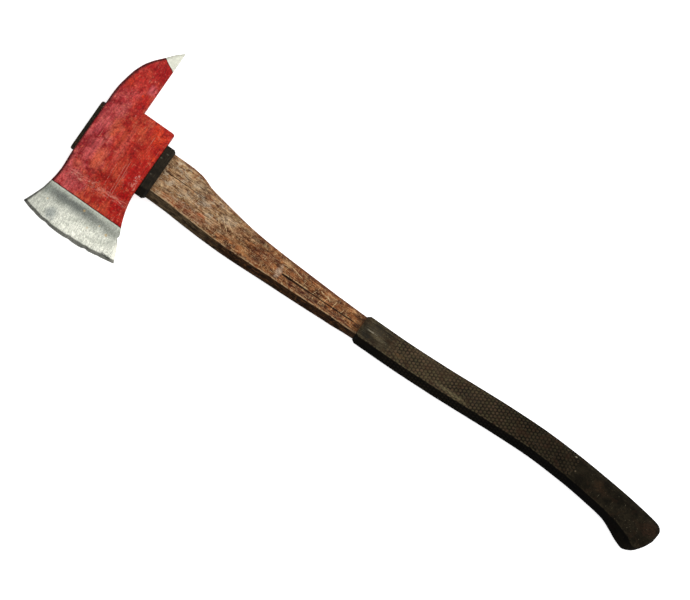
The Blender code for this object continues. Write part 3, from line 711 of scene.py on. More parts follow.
def dot_heights(column, places):
    """How much of a dot stands at each point. Columns stand half a row apart by turns."""
    starts = np.concatenate([[0], np.cumsum(DOT_ROWS)])
    side = np.floor(places).astype(int)
    row = starts[side] + (places - side) * np.array(DOT_ROWS)[side]
    column = column[:, None]
    nearest = np.round(column)
    row = row + (nearest % 2) / 2
    length, breadth = DOT_HALF_SIZES
    away = ((column - nearest) / length) ** 2 + ((row - np.round(row)) / breadth) ** 2
    return np.clip(1 - away, 0, 1) ** 0.8


def make_grip(material):
    """The moulded sleeve, with its band of raised dots all round, open towards the head."""
    places = places_round([round(rows * DOT_RINGS) for rows in DOT_ROWS])
    back, belly, *sizes = resampled(GRIP_STATIONS, grip_spacing)
    outside = octagons(back, belly, *sizes, places, 1.5)
    x = (back[:, 0] + belly[:, 0]) / 2
    start, end = DOTS_X
    inside_band = smooth(x, start, start + 1) * smooth(x, end, end - 1)
    inside_band = inside_band * between(0.3, 1, smooth(x, start, start + DOTS_FADE))
    band = inside_band[:, None] * np.interp(places, DOTTED_PLACES, DOTTED_SHARES)
    dots = band * dot_heights(np.interp(x, DOTS_X, (-0.5, DOT_COLUMNS - 0.5)), places)
    uneven = hollows(outside, 12, 7, 0.25) + hollows(outside, 3, 23, 0.12)
    patchy = 1 - 0.35 * np.maximum(rough(outside, 26, 41), 0)
    shape = (DOT_HEIGHT * (dots * patchy - 0.75 * band) - uneven) * smooth(x, *BUTT_X[::-1])[:, None]
    outside = outside + normals_of(outside) * shape[..., None]
    rings = np.concatenate([grip_inside(places), outside])
    grip = make_piece("rubber_grip", rings, tube_faces(len(rings), len(places)), material, 50)
    hidden = np.zeros((len(rings) - len(outside), len(places)))
    give(grip, "dot", np.concatenate([hidden, dots]))
    give(grip, "band", np.concatenate([hidden, band]))
    give(grip, "belly", np.tile(belly_share(places), len(rings)))
    give(grip, "belly_arris", np.tile(near_places(places, (2, 5)), len(rings)))
    give(grip, "back_arris", np.tile(near_places(places, (0, 1, 6, 7, 8)), len(rings)))
    place(grip, "black_rubber", "grip_sleeve")


def grip_inside(places):
    """The rings of the grip's cavity, from the butt to the head's end, and of its rounded lip."""
    cavity = core_stations(RUBBER_WALL)
    back, belly, depth, *arrises = cavity[0]
    lip = []
    for out, ahead in GRIP_LIP:
        x = GRIP_LIP_X + ahead
        lip.append(((x, back[1] + out), (x, belly[1] - out), depth + out, *arrises))
    inner = resampled(cavity, lambda travelled, xs: steps(0, travelled[-1], 16))
    lip = [np.array(column, float) for column in zip(*lip)]
    return np.concatenate([octagons(*inner, places, 1)[::-1], octagons(*lip, places, 1.2)])


def belly_share(places):
    """1 on the belly and its two chamfers, 0 on the other sides."""
    return smooth(places, 1.985, 2.03) * (1 - smooth(places, 4.97, 5.015))


def near_places(places, corners):
    """1 at the given corners of the octagon, falling to 0 along the sides."""
    away = np.min([np.abs(places - corner) for corner in corners], axis=0)
    return 1 - smooth(away, 0, 0.06)


# ---- collar, plate and screws ----
def collar_profile():
    """The collar's section, as X and the share of the wall that is there, round to its start."""
    near_x, far_x = HALF_HEIGHT + GAP, HALF_HEIGHT + GAP + COLLAR_LENGTH
    chamfer_x = far_x - COLLAR_CHAMFER
    thin = COLLAR_THIN / COLLAR_WALL
    corners = np.array([
        (near_x, 0), (near_x, 0.92), (near_x + 0.35, 1), (chamfer_x - 0.6, 1), (chamfer_x + 0.3, 0.93),
        (far_x - 0.5, thin + 0.1), (far_x, thin - 0.05), (far_x, 0), (near_x, 0),
    ])
    profile = []
    for corner, following in zip(corners, corners[1:]):
        length = np.linalg.norm((following - corner) * (1, COLLAR_WALL))
        count = max(2, round(length / 0.8))
        profile.append(between(corner, following, np.arange(count)[:, None] / count))
    return np.concatenate(profile).T


def make_collar(material):
    """The collar round the haft's shoulder, chamfered towards the haft."""
    x, share = collar_profile()
    _, back, belly, depth, arris_y, arris_z = HAFT_STATIONS[0]
    grow_y, grow_z = between(GAP, COLLAR_WALL, share), between(GAP, COLLAR_SIDE_WALL, share)
    sizes = (depth + grow_z, arris_y + COLLAR_ARRIS_GROWTH * grow_y, arris_z + COLLAR_ARRIS_GROWTH * grow_z)
    places = places_round(COLLAR_COUNTS)
    rings = octagons(np.stack([x, back + grow_y], -1), np.stack([x, belly - grow_y], -1), *sizes, places, 1.4)
    outward = unit((rings - (0, (back + belly) / 2, 0)) * (0, 1, 1))
    uneven = hollows(rings, 5, 13, 0.25) * smooth(share, 0.3, 0.9)[:, None]
    rings = rings - outward * uneven[..., None]
    total = len(rings) * len(places)
    faces = [tuple(k % total for k in face) for face in tube_faces(len(rings) + 1, len(places), ends=False)]
    collar = make_piece("rubber_collar", rings, faces, material, 40)
    give(collar, "belly", np.tile(belly_share(places), len(rings)))
    place(collar, "black_rubber", "head_collar")


def plate_ring(x, inset):
    """The plate's outline at x, a rectangle with round corners, moved in by inset."""
    radius = max(PLATE_CORNER - inset, 1)
    flat_y, flat_z = PLATE_HALF_LENGTH - inset - radius, PLATE_HALF_WIDTH - inset - radius
    corners = []
    for quarter, (a, b) in enumerate([(1, 1), (-1, 1), (-1, -1), (1, -1)]):
        angle = np.pi / 2 * (quarter + np.arange(13) / 12)
        y, z = a * flat_y + radius * np.cos(angle), b * flat_z + radius * np.sin(angle)
        corners.append(np.stack([np.full(13, x), y, z], -1))
    ring = []
    for corner, following, count in zip(corners, corners[1:] + corners[:1], (40, 10, 40, 10)):
        ring += [corner, between(corner[-1], following[0], np.arange(1, count)[:, None] / count)]
    return np.concatenate(ring)


def make_plate(material):
    """The plate that stands proud of the head's top, with a rounded outer edge and two screw holes."""
    rings = [plate_ring(x, 0) for x in steps(PLATE_INNER_X, SCREW_FACE_X + PLATE_EDGE, 0.8)]
    for angle in np.linspace(0, math.pi / 2, 8)[1:]:
        x = SCREW_FACE_X + PLATE_EDGE * (1 - math.sin(angle))
        rings.append(plate_ring(x, PLATE_EDGE * (1 - math.cos(angle))))
    rings += [plate_ring(SCREW_FACE_X, inset) for inset in steps(PLATE_EDGE + 1, PLATE_HALF_WIDTH - 1.2, 1.1)]
    rings = np.array(rings)
    dent = hollows(rings, 6, 19, 0.22) * (rings[..., 0] <= PLATE_INNER_X - 0.1)
    inward = np.sign(rings * (0, 1, 1) + (1, 0, 0)) * (0.6, -0.2, -0.5)
    rings = rings + inward * dent[..., None]
    plate = make_piece("head_top_plate", rings, tube_faces(len(rings), rings.shape[1]), material, 35)
    cut(plate, [turned("hole", hole_profile(), y, 48, None) for y in (SCREW_Y, -SCREW_Y)])
    place(plate, "black_steel", "head_plate")


def hole_profile():
    """A screw's hole as (X, radius) points, from above the plate to its end."""
    top_x, head_r, shank_r = SCREW_FACE_X - 3, SCREW_HEAD_R + GAP, SCREW_SHANK_R + GAP
    return [
        (top_x, 0), (top_x, head_r), (SCREW_FACE_X + GAP, head_r), (SCREW_NECK_X + GAP, shank_r),
        (SCREW_POINT_X - SCREW_TAPER, shank_r), (SCREW_POINT_X + GAP, 0),
    ]


def screw_profile():
    """A countersunk screw as (X, radius) points, from its slightly domed head to its point."""
    taper_x = SCREW_POINT_X - SCREW_TAPER
    profile = []
    for radius in (0, 1.2, 2.2, 3.1, SCREW_HEAD_R - 0.15):
        profile.append((SCREW_FACE_X + 0.05 + 0.35 * (radius / SCREW_HEAD_R) ** 2, radius))
    profile += [(SCREW_FACE_X + 0.7, SCREW_HEAD_R), (SCREW_NECK_X - 0.3, SCREW_SHANK_R + 0.35)]
    profile += [(SCREW_NECK_X, SCREW_SHANK_R)]
    profile += [(x, SCREW_SHANK_R - 0.02) for x in steps(SCREW_NECK_X + 1, taper_x, 0.3)]
    for x in steps(taper_x + 0.2, SCREW_POINT_X - 0.4, 0.3):
        profile.append((x, SCREW_SHANK_R * (SCREW_POINT_X - x) / SCREW_TAPER + 0.1))
    return profile + [(SCREW_POINT_X, 0)]


def turned(name, profile, y, count, material, thread_from=None):
    """A solid turned about a line along X at y, from (x, radius) points, with a screw thread if asked."""
    (first_x, _), *inner, (last_x, _) = profile
    angle = circle(count)
    points = [(first_x, y, 0)]
    for x, radius in inner:
        if thread_from is not None and x > thread_from:
            phase = ((x - thread_from) / THREAD_PITCH + angle / (2 * np.pi)) % 1
            radius = radius - min(THREAD_DEPTH, 0.5 * radius) * np.abs(2 * phase - 1)
        ring = np.stack([np.full(count, x), y + radius * np.cos(angle), radius * np.sin(angle)], -1)
        points.extend(ring.tolist())
    points.append((last_x, y, 0))
    last = len(points) - 1
    faces = tube_faces(len(inner), count, 1, ends=False)
    for k in range(count):
        n = (k + 1) % count
        faces += [(0, 1 + n, 1 + k), (last, last - count + k, last - count + n)]
    return make_piece(name, points, faces, material, 32)


def make_screws(material):
    for side, y in (("pick_side", SCREW_Y), ("edge_side", -SCREW_Y)):
        screw = turned("countersunk_screw_" + side, screw_profile(), y, 40, material, SCREW_FACE_X + 6)
        ends = (SCREW_FACE_X - 1, SCREW_FACE_X + SCREW_SLOT)
        cut(screw, [slab_cutter("drive", ends, (9, 9), [SCREW_SLOT / 2] * 2, y)])
        place(screw, "bare_steel", "plate_screw_" + side)


# ---- materials ----
LIGHT_LEVEL = 1.12  # how much light falls on the axe: enough for the pale floor to look white


def tone(red, green, blue):
    """The base colour that looks like this, 0 to 255 a channel, in the scene's light."""
    channels = [c / 255 for c in (red, green, blue)]
    light = [c / 12.92 if c <= 0.04045 else ((c + 0.055) / 1.055) ** 2.4 for c in channels]
    return (*[c / LIGHT_LEVEL for c in light], 1)


class Finish:
    """A material under construction: short calls that add nodes and return their outputs."""

    def __init__(self, name, specular):
        self.material = bpy.data.materials.new(name)
        self.material.use_nodes = True
        self.tree = self.material.node_tree
        self.shader = self.tree.nodes["Principled BSDF"]
        self.shader.inputs["Specular IOR Level"].default_value = specular
        self.mm = self.vector("MULTIPLY", self.add("TexCoord").outputs["Object"], (1000, 1000, 1000))
        split = self.add("SeparateXYZ")
        self.link(self.mm, split.inputs[0])
        self.x, self.y, self.z = split.outputs
        self.uneven = self.wander(1, 6, 5, 6, crisp=0.65)
        self.upper = self.span(self.z, MID_HEIGHT - 6, MID_HEIGHT + 2)

    def add(self, kind, **properties):
        node = self.tree.nodes.new("ShaderNode" + kind)
        for key, value in properties.items():
            setattr(node, key, value)
        return node

    def link(self, value, socket):
        """Links an output to a socket, or sets the socket to a plain value."""
        if isinstance(value, bpy.types.NodeSocket):
            self.tree.links.new(value, socket)
        else:
            socket.default_value = value

    def linked(self, node, *values):
        """The first output of a node whose inputs take these values, in order."""
        for value, socket in zip(values, node.inputs):
            self.link(value, socket)
        return node.outputs[0]

    def vector(self, operation, a, b):
        return self.linked(self.add("VectorMath", operation=operation), a, b)

    def calc(self, operation, a, b=0):
        return self.linked(self.add("Math", operation=operation), a, b)

    def times(self, first, *others):
        for value in others:
            first = self.calc("MULTIPLY", first, value)
        return first

    def plus(self, first, *others):
        for value in others:
            first = self.calc("ADD", first, value)
        return first

    def combined(self, x, y, z):
        return self.linked(self.add("CombineXYZ"), x, y, z)

    def attribute(self, name):
        return self.add("Attribute", attribute_name=name).outputs["Fac"]

    def noise_at(self, place, detail, crisp=0.5):
        """Noise from about 0 to 1 at a place that is counted in features."""
        node = self.add("TexNoise")
        for name, value in (("Vector", place), ("Scale", 1), ("Detail", detail), ("Roughness", crisp)):
            self.link(value, node.inputs[name])
        return node.outputs["Fac"]

    def noise(self, size, seed, detail=3, stretch=(1, 1, 1), crisp=0.5, warp=(0, 0, 0)):
        """Noise from about 0 to 1 with features of that size in millimetres, stretched along the axes."""
        scaled = self.vector("DIVIDE", self.mm, tuple(size * s for s in stretch))
        moved = self.vector("ADD", scaled, (seed, seed * 0.7, seed * 1.3))
        return self.noise_at(self.vector("ADD", moved, warp), detail, crisp)

    def wander(self, amount, size, seed, detail=3, stretch=(1, 1, 1), crisp=0.5):
        """Noise from about minus to plus half the amount."""
        return self.times(self.calc("SUBTRACT", self.noise(size, seed, detail, stretch, crisp), 0.5), amount)

    def span(self, value, low, high, out_low=0, out_high=1):
        """Value from low to high turned smoothly into out_low to out_high."""
        node = self.add("MapRange", interpolation_type="SMOOTHSTEP")
        return self.linked(node, value, low, high, out_low, out_high)

    def mix(self, share, a, b):
        node = self.add("Mix", data_type="RGBA")
        for value, index in ((share, 0), (a, 6), (b, 7)):
            self.link(value, node.inputs[index])
        return node.outputs[2]

    def clouds(self, value, low, high, dark, light):
        """One tone where the value is low and another where it is high."""
        return self.mix(self.span(value, low, high), tone(*dark), tone(*light))

    def over(self, colour, layer, *shares):
        """A colour with a layer over it, a tone or an output, as strong as the product of the shares."""
        return self.mix(self.times(*shares), colour, tone(*layer) if isinstance(layer, tuple) else layer)

    def shade(self, colour, factor, *limits):
        """The colour made lighter or darker by a factor, or by a value that span turns into one."""
        if limits:
            factor = self.span(factor, *limits)
        return self.vector("MULTIPLY", colour, self.combined(factor, factor, factor))

    def blob(self, centre, radii):
        """1 inside an uneven oval patch round a point in X and Y, on the upper side, and 0 outside it."""
        squares = []
        for value, middle, radius in zip((self.x, self.y), centre, radii):
            away = self.calc("DIVIDE", self.calc("SUBTRACT", value, middle), radius)
            squares.append(self.times(away, away))
        distance = self.calc("SQRT", self.plus(*squares))
        return self.times(self.span(self.plus(distance, self.uneven), 1, 0.3), self.upper)

    def patches(self, colour, places, flaky=1):
        """Uneven oval patches over a colour, each as its (X, Y), half sizes, tone and share. flaky breaks
        them all up."""
        for centre, radii, shade, share in places:
            colour = self.over(colour, shade, self.blob(centre, radii), flaky, share)
        return colour

    def scratch(self, start, end, waves, width, seed, broken):
        """A thin, wavy, broken scratch between two points (X, Y) of the upper side."""
        length = math.dist(start, end)
        ux, uy = ((last - first) / length for first, last in zip(start, end))
        dx, dy = (self.calc("SUBTRACT", value, first) for value, first in zip((self.x, self.y), start))
        run = self.plus(self.times(dx, ux), self.times(dy, uy))
        off = self.calc("SUBTRACT", self.times(dy, ux), self.times(dx, uy))
        off = self.plus(off, self.wander(waves, 9, seed, 2))
        near = self.span(self.calc("ABSOLUTE", off), width, width * 0.2)
        ends = self.times(self.span(run, -1, 3), self.span(run, length + 1, length - 3))
        gaps = self.span(self.noise(2.2, seed + 3), broken - 0.06, broken + 0.06)
        return self.times(near, ends, gaps, self.upper)

    def scratches(self, colour, places, shade, broken, share):
        """Scratches over a colour, each as its two ends (X, Y), its waves' size, its half width and seed."""
        for place in places:
            colour = self.over(colour, shade, self.scratch(*place, broken), share)
        return colour

    def finish(self, colour, roughness, bumps=(), metallic=0):
        """The material. Each bump is a height and how many millimetres it stands for."""
        for name, value in (("Base Color", colour), ("Roughness", roughness), ("Metallic", metallic)):
            self.link(value, self.shader.inputs[name])
        normal = self.shader.inputs["Normal"]
        for height, distance in reversed(bumps):
            bump = self.add("Bump")
            self.link(distance * MM, bump.inputs["Distance"])
            self.link(height, bump.inputs["Height"])
            self.link(bump.outputs[0], normal)
            normal = bump.inputs["Normal"]
        return self.material


# Patches on the cheek: (X, Y), half sizes, tone, share.
PAINT_PATCHES = [
    ((-8.5, 64), (10, 13), (170, 14, 10), 0.85), ((-31.5, 92), (9, 10), (176, 26, 15), 0.7),
    ((-22.5, 5), (3.4, 30), (202, 98, 90), 0.7), ((27, 47), (10, 11), (198, 52, 22), 0.6),
    ((-12, 112), (22, 24), (150, 20, 20), 0.7), ((-26, 84), (16, 20), (164, 38, 32), 0.45),
    ((-20, 18), (8, 24), (192, 80, 52), 0.75), ((-15, -28), (12, 24), (196, 86, 58), 0.8),
    ((-26, 40), (11, 15), (190, 84, 80), 0.75), ((35, 38), (13, 16), (196, 58, 28), 0.75),
    ((-38, 80), (9, 15), (184, 50, 28), 0.75), ((27, -80), (14, 6), (190, 74, 46), 0.7),
    ((-41, -76), (9, 10), (190, 78, 76), 0.75), ((3, 0), (7, 40), (184, 72, 62), 0.7),
    ((-33, -16), (10, 10), (136, 38, 42), 0.65), ((-45, 30), (6, 22), (128, 30, 36), 0.7),
    ((5, -40), (7, 9), (150, 24, 18), 0.8), ((39, -58), (12, 24), (158, 12, 11), 0.9),
    ((34, -20), (11, 19), (160, 15, 13), 0.85), ((-1, -75), (7, 7), (150, 22, 20), 0.75),
    ((-8, 108), (15, 14), (146, 14, 16), 0.85), ((-7, 52), (11, 17), (150, 18, 20), 0.85),
    ((16, 12), (7, 14), (152, 26, 22), 0.7), ((-24, 100), (7, 10), (186, 62, 44), 0.5),
    ((-38, 4), (7, 13), (176, 66, 72), 0.6), ((-34, -48), (9, 10), (192, 78, 54), 0.6),
    ((14, -62), (9, 10), (192, 80, 56), 0.6), ((-8, 32), (6, 8), (156, 26, 26), 0.6),
    ((-22, 62), (9, 8), (170, 40, 42), 0.5), ((20, 40), (7, 9), (178, 50, 40), 0.5),
    ((-7, 84.5), (9, 10), (190, 86, 90), 0.8), ((-13.6, 71.5), (2.8, 3.6), (226, 58, 22), 0.9),
    ((44, 12), (3.4, 7), (208, 62, 32), 0.8),
]
# The scuffed spot near the collar, in the same way.
SCUFF_PATCHES = [
    ((41.6, -22), (4.2, 9), (232, 190, 180), 0.9), ((40, -31), (7, 3.6), (214, 128, 112), 0.8),
    ((45, -34), (2.6, 3.4), (226, 160, 140), 0.8),
]
# Scratches on the cheek: both ends (X, Y), size of the waves, half width, seed.
PAINT_SCRATCHES = [
    ((-41, -59.5), (-14, -57.5), 5, 0.8, 21), ((8, -55.5), (26, -60), 4, 0.9, 27),
    ((30, -58), (52, -54.5), 3, 0.9, 28), ((24, -24), (34, -42), 7, 0.4, 26),
    ((25.3, -56), (21.8, -5), 1.5, 0.8, 35), ((22.4, -59), (19, -12), 1.5, 0.7, 36),
    ((10, -50), (8, -18), 1.5, 0.7, 38),
]
PAINT_SCRATCH = (214, 140, 122)


def paint_colour(f):
    """Worn red paint: patches of deep, rosy and orange red, streaks along the head, fine mottling."""
    cloud = f.noise(12, 1, 6, (1, 1.5, 1), 0.65)
    streak = f.noise(2.4, 2, 4, (1, 14, 1), 0.6)
    grain = f.noise(2.4, 3, 6, crisp=0.7)
    speck = f.noise(5, 4, 5, crisp=0.65)
    rosy = f.clouds(cloud, 0.36, 0.62, (138, 22, 29), (189, 81, 80))
    warm = f.clouds(cloud, 0.36, 0.64, (156, 26, 18), (188, 74, 48))
    deep = f.clouds(cloud, 0.36, 0.64, (154, 14, 12), (180, 48, 30))
    place = f.plus(f.x, f.wander(60, 20, 6))
    colour = f.over(rosy, warm, f.span(place, -26, -4))
    colour = f.over(colour, deep, f.span(place, 12, 30))
    colour = f.over(colour, f.mix(0.78, rosy, deep), f.span(f.y, 50, 85), 0.85)
    colour = f.patches(colour, PAINT_PATCHES)
    dark = f.times(f.span(speck, 0.53, 0.62), f.span(f.noise(13, 12), 0.36, 0.52))
    colour = f.over(colour, (132, 14, 16), dark, 0.75)
    light = f.times(f.span(speck, 0.46, 0.36), f.span(f.noise(11, 13), 0.44, 0.58))
    colour = f.over(colour, (204, 104, 78), light, 0.55)
    colour = f.shade(colour, streak, 0.32, 0.68, 0.76, 1.22)
    return f.shade(colour, grain, 0.33, 0.67, 0.66, 1.36)


def paint_marks(f, colour):
    """The marks on the cheek: a wavy scuffed band, long fine scratches, a scuff and flecks."""
    sway = f.wander(20, 13, 22)
    off = f.plus(f.y, f.times(f.x, -0.03), 59.5, sway)
    band = f.times(f.span(f.calc("ABSOLUTE", off), 8, 0.5), f.span(f.x, -43, -32))
    band = f.times(band, f.span(f.noise(5, 39, 4), 0.40, 0.58, 0.25, 1))
    bend = f.times(sway, 0.35)
    wavy = f.noise(1.5, 23, 4, (9, 1, 1), warp=f.combined(bend, bend, bend))
    colour = f.over(colour, PAINT_SCRATCH, band, f.span(wavy, 0.44, 0.62), 0.75)
    fine = f.times(f.span(f.noise(0.8, 24, 2, (1, 60, 1)), 0.64, 0.70), f.span(f.noise(14, 25), 0.46, 0.56))
    colour = f.over(colour, PAINT_SCRATCH, fine, 0.5)
    colour = f.scratches(colour, PAINT_SCRATCHES, PAINT_SCRATCH, 0.42, 0.42)
    torn = f.times(f.span(f.noise(1.5, 29, 3, (1, 1.8, 1)), 0.50, 0.57), 0.8)
    colour = f.patches(colour, SCUFF_PATCHES, torn)
    flecks = f.times(f.span(f.noise(1.1, 33, 2), 0.66, 0.72), f.span(f.noise(16, 34), 0.46, 0.60))
    return f.over(colour, PAINT_SCRATCH, flecks, 0.45)


RUST = (196, 160, 92)
# Stains and rust on the blade: (X, Y), half sizes, tone, share.
STEEL_PATCHES = [
    ((-25.5, -121.5), (11, 12.5), (140, 146, 142), 0.8), ((8.5, -93.6), (2.4, 2.4), RUST, 0.6),
    ((50, -104), (2.8, 2.8), RUST, 0.6), ((24, -110), (2, 2), RUST, 0.5), ((36, -99), (1.6, 1.6), RUST, 0.5),
    ((-40, -108), (1.8, 1.8), RUST, 0.5), ((64, -126), (13, 2.6), (92, 94, 88), 0.75),
    ((-46, -96), (11, 9), (150, 156, 146), 0.6),
]


def steel_colour(f):
    """Ground steel: cloudy, with fine streaks down the blade, painted light next to the paint and towards the
    edge, a band of painted shade between them, and specks of rust.
    """
    cloud = f.noise(8, 41, 6, (2, 1, 1), 0.62)
    grain = f.noise(0.9, 42, 5, (1, 2.4, 1), 0.7)
    streak = f.noise(1.3, 43, 4, (1, 9, 1))
    ripple = f.wander(10, 12, 44, 4)
    down = f.plus(f.y, ripple)
    dull = f.clouds(cloud, 0.34, 0.64, (168, 172, 160), (196, 199, 186))
    bright = f.clouds(cloud, 0.34, 0.62, (204, 206, 192), (236, 236, 222))
    # Painted light: the steel lighter towards the cutting edge.
    colour = f.over(dull, bright, f.span(down, -92, -120))
    colour = f.over(colour, (172, 175, 164), f.span(f.plus(f.x, ripple), 0, -56), 0.55)
    # Painted shade: a dark band above the bevel, strongest in the middle.
    band = f.times(f.span(down, -87, -94), f.span(down, -110, -95))
    side = f.span(f.calc("ABSOLUTE", f.plus(f.x, 12)), 84, 6, 0.3, 1)
    colour = f.over(colour, (116, 120, 114), band, side, 0.95)
    # Painted light: a paler band just below the paint's end.
    paint_line_highlight = f.span(f.calc("ABSOLUTE", f.plus(f.y, 87)), 4.4, 0.6)
    colour = f.over(colour, (176, 182, 168), paint_line_highlight, 0.7)
    colour = f.patches(colour, STEEL_PATCHES)
    colour = f.shade(colour, streak, 0.32, 0.68, 0.84, 1.14)
    colour = f.shade(colour, grain, 0.33, 0.67, 0.68, 1.26)
    colour = f.over(colour, (136, 132, 114), f.span(f.noise(2.2, 46, 4), 0.60, 0.68), 0.4)
    lights = f.times(f.span(f.noise(0.8, 47, 4, (1, 4, 1)), 0.58, 0.66), f.span(f.y, -90, -112))
    return f.over(colour, (250, 248, 236), lights, 0.55)


def bare_share(f):
    """1 where the steel is bare and 0 where it is painted, and the distance from the paint's ends."""
    waver = f.wander(0.9, 7, 51)
    below = f.calc("SUBTRACT", PAINT_LINE_Y, f.plus(f.y, waver))
    (x0, y0), (x1, y1) = TIP_PAINT_LINE
    slope = (y1 - y0) / (x1 - x0)
    tip_line = f.plus(f.times(f.x, slope), y0 - slope * x0)
    beyond = f.calc("SUBTRACT", f.plus(f.y, f.times(waver, 1.4)), tip_line)
    bare = f.calc("MAXIMUM", f.span(below, -0.2, 0.2), f.span(beyond, -0.2, 0.2))
    return bare, f.calc("MINIMUM", f.calc("ABSOLUTE", below), f.calc("ABSOLUTE", beyond))


def head_finish():
    """Red paint over forged steel, which is bare on the blade and at the pick's tip."""
    f = Finish("worn_red_paint_and_steel", 0.1)
    bare, near_line = bare_share(f)
    top_edge, other_edge = f.attribute("top_edge"), f.attribute("other_edge")
    any_edge = f.calc("MAXIMUM", top_edge, other_edge)
    chips_and_edge_shade = f.noise(2.4, 52, 4)
    paint = paint_marks(f, paint_colour(f))
    # Painted shade: dark red along the top edge and a duller red along the other edges, broken up by the same
    # noise as the chips; then pale chips of worn paint at the edges.
    paint = f.over(paint, (54, 6, 8), top_edge, f.span(chips_and_edge_shade, 0.25, 0.6, 0.65, 1))
    paint = f.over(paint, (112, 14, 10), other_edge, f.span(chips_and_edge_shade, 0.3, 0.6, 0.25, 0.75))
    paint = f.over(paint, (206, 120, 96), any_edge, f.span(chips_and_edge_shade, 0.62, 0.67), 0.5)
    paint = f.over(paint, (48, 7, 7), f.span(near_line, 1.7, 0.3), 0.9)
    steel = steel_colour(f)
    # Painted highlight: paler steel at the pick's tip.
    steel = f.over(steel, (234, 233, 216), f.span(f.y, 112, 124), 0.55)
    # Painted highlight: the heel facet much paler than the rest of the steel.
    steel = f.over(steel, (232, 230, 216), f.attribute("heel_facet"), 0.7)
    # Painted shade: the toe facet and the honed bevel are darkened copies of the steel.
    steel = f.over(steel, f.shade(steel, 0.30), f.attribute("toe_facet"))
    steel = f.over(steel, f.shade(steel, 0.30), f.attribute("honed"))
    # Painted highlight: a pale line on the steel just below the paint's end.
    steel = f.over(steel, (222, 224, 210), f.span(near_line, 0.5, 1), f.span(near_line, 2.4, 1.4), 0.5)
    # Painted shade: the steel darker near the outlines.
    steel = f.over(steel, (120, 120, 108), any_edge, 0.3)
    steel = f.over(steel, (96, 96, 88), f.attribute("wall"), 0.5)
    grit, peel = f.noise(0.9, 53, 4), f.noise(3.2, 54)
    paint_roughness, steel_roughness = f.span(peel, 0.3, 0.7, 0.48, 0.66), f.span(grit, 0.3, 0.7, 0.42, 0.58)
    rougher = f.times(bare, f.calc("SUBTRACT", steel_roughness, paint_roughness))
    coat = f.calc("SUBTRACT", 1, bare)
    bumps = [(grit, 0.10), (peel, 0.22), (coat, 0.15)]
    return f.finish(f.mix(bare, paint, steel), f.plus(paint_roughness, rougher), bumps, f.times(bare, 0.85))


def wood_grain(f, colour):
    """Fibres along X over a colour, bleached where they stand high, and the fibres' own height."""
    fibre = f.noise(1.1, 62, 6, (12, 1, 1), 0.68)
    worn = f.noise(1.7, 60, 5, (2, 1, 1), 0.68)
    colour = f.shade(colour, fibre, 0.34, 0.60, 0.56, 1.14)
    colour = f.shade(colour, worn, 0.35, 0.62, 0.66, 1.16)
    colour = f.shade(colour, f.noise(0.9, 59, 3, (1, 6, 1), 0.6), 0.34, 0.66, 0.88, 1.12)
    colour = f.shade(colour, f.noise(3, 63, 4, (9, 1, 1)), 0.33, 0.67, 0.70, 1.22)
    bleached = f.plus(f.span(fibre, 0.54, 0.70, 0, 0.42), f.span(worn, 0.54, 0.68, 0, 0.32))
    colour = f.over(colour, (212, 175, 128), bleached)
    strand = f.noise(1.3, 57, 3, (26, 1, 1), 0.6)
    colour = f.over(colour, (78, 42, 26), f.span(strand, 0.44, 0.35, 0, 0.6))
    pale = f.times(f.span(strand, 0.57, 0.64), f.span(f.x, 230, 150, 0.16, 0.42))
    return f.over(colour, (222, 188, 148), pale), fibre


# Stains and worn places on the haft: (X, Y), half sizes, tone, share.
WOOD_PATCHES = [
    ((118, -17), (50, 9.5), (122, 62, 36), 0.95), ((137, -12), (8, 4), (184, 92, 56), 0.75),
    ((88, -17), (16, 6), (150, 88, 52), 0.75), ((133, 14.5), (11, 7.5), (118, 60, 34), 0.9),
    ((116, 18), (20, 9), (172, 150, 122), 0.5), ((104, -1), (18, 6), (168, 146, 120), 0.6),
    ((134, 4), (12, 5), (168, 150, 132), 0.7), ((168, 2), (15, 8), (196, 172, 144), 0.75),
    ((149, 12.5), (4, 4), (96, 52, 34), 0.8), ((176, 12), (14, 3.5), (142, 124, 86), 0.6),
    ((196, -12), (22, 8), (146, 100, 62), 0.6), ((190, 2), (8, 6), (126, 72, 42), 0.7),
    ((220, 4), (16, 6), (66, 30, 20), 0.85), ((236, -8), (26, 10), (104, 52, 32), 0.7),
    ((228, -20), (16, 6), (104, 50, 32), 0.6), ((261, -13), (6, 12), (196, 170, 146), 0.85),
    ((265, 2.5), (13, 4.5), (190, 150, 106), 0.7), ((286, 0), (14, 5), (124, 68, 42), 0.6),
    ((302, -18), (36, 6.5), (66, 26, 19), 1), ((318, 1), (12, 3.4), (168, 124, 84), 0.6),
    ((338, -3), (12, 6), (182, 136, 96), 0.6), ((356, -18), (20, 4.5), (96, 46, 30), 0.7),
    ((330, 4.4), (46, 2.6), (70, 34, 22), 0.9), ((374, 1), (9, 4.5), (170, 128, 90), 0.6),
    ((356, -6), (12, 4), (122, 70, 44), 0.6),
]
# Scratches on its upper face: both ends (X, Y), size of the waves, half width, seed.
WOOD_SCRATCHES = [
    ((150, 4), (168, -12), 4, 0.8, 101), ((158, 6), (176, -10), 4, 0.7, 102),
    ((168, 4), (186, -8), 4, 0.7, 103), ((96, -8), (112, -2), 8, 0.7, 104),
    ((312, -16), (316, -6), 4, 0.7, 106), ((330, -15), (334, -4), 4, 0.7, 107),
    ((344, -16), (346, -2), 3, 0.7, 108), ((356, -15), (360, -4), 3, 0.6, 109),
    ((266, -12), (306, -11), 1, 0.8, 110), ((272, 0.5), (292, -3), 2, 0.8, 111),
    ((320, -3), (338, -6), 5, 0.8, 112),
]
# Areas of short, straight, parallel scratches: seed, their angle to X in radians, width.
WOOD_STROKES = [(65, 1.35, 0.9), (66, -0.75, 0.8), (67, 0.06, 0.8), (68, 1.75, 0.7)]
WOOD_SCRATCH = (216, 184, 138)


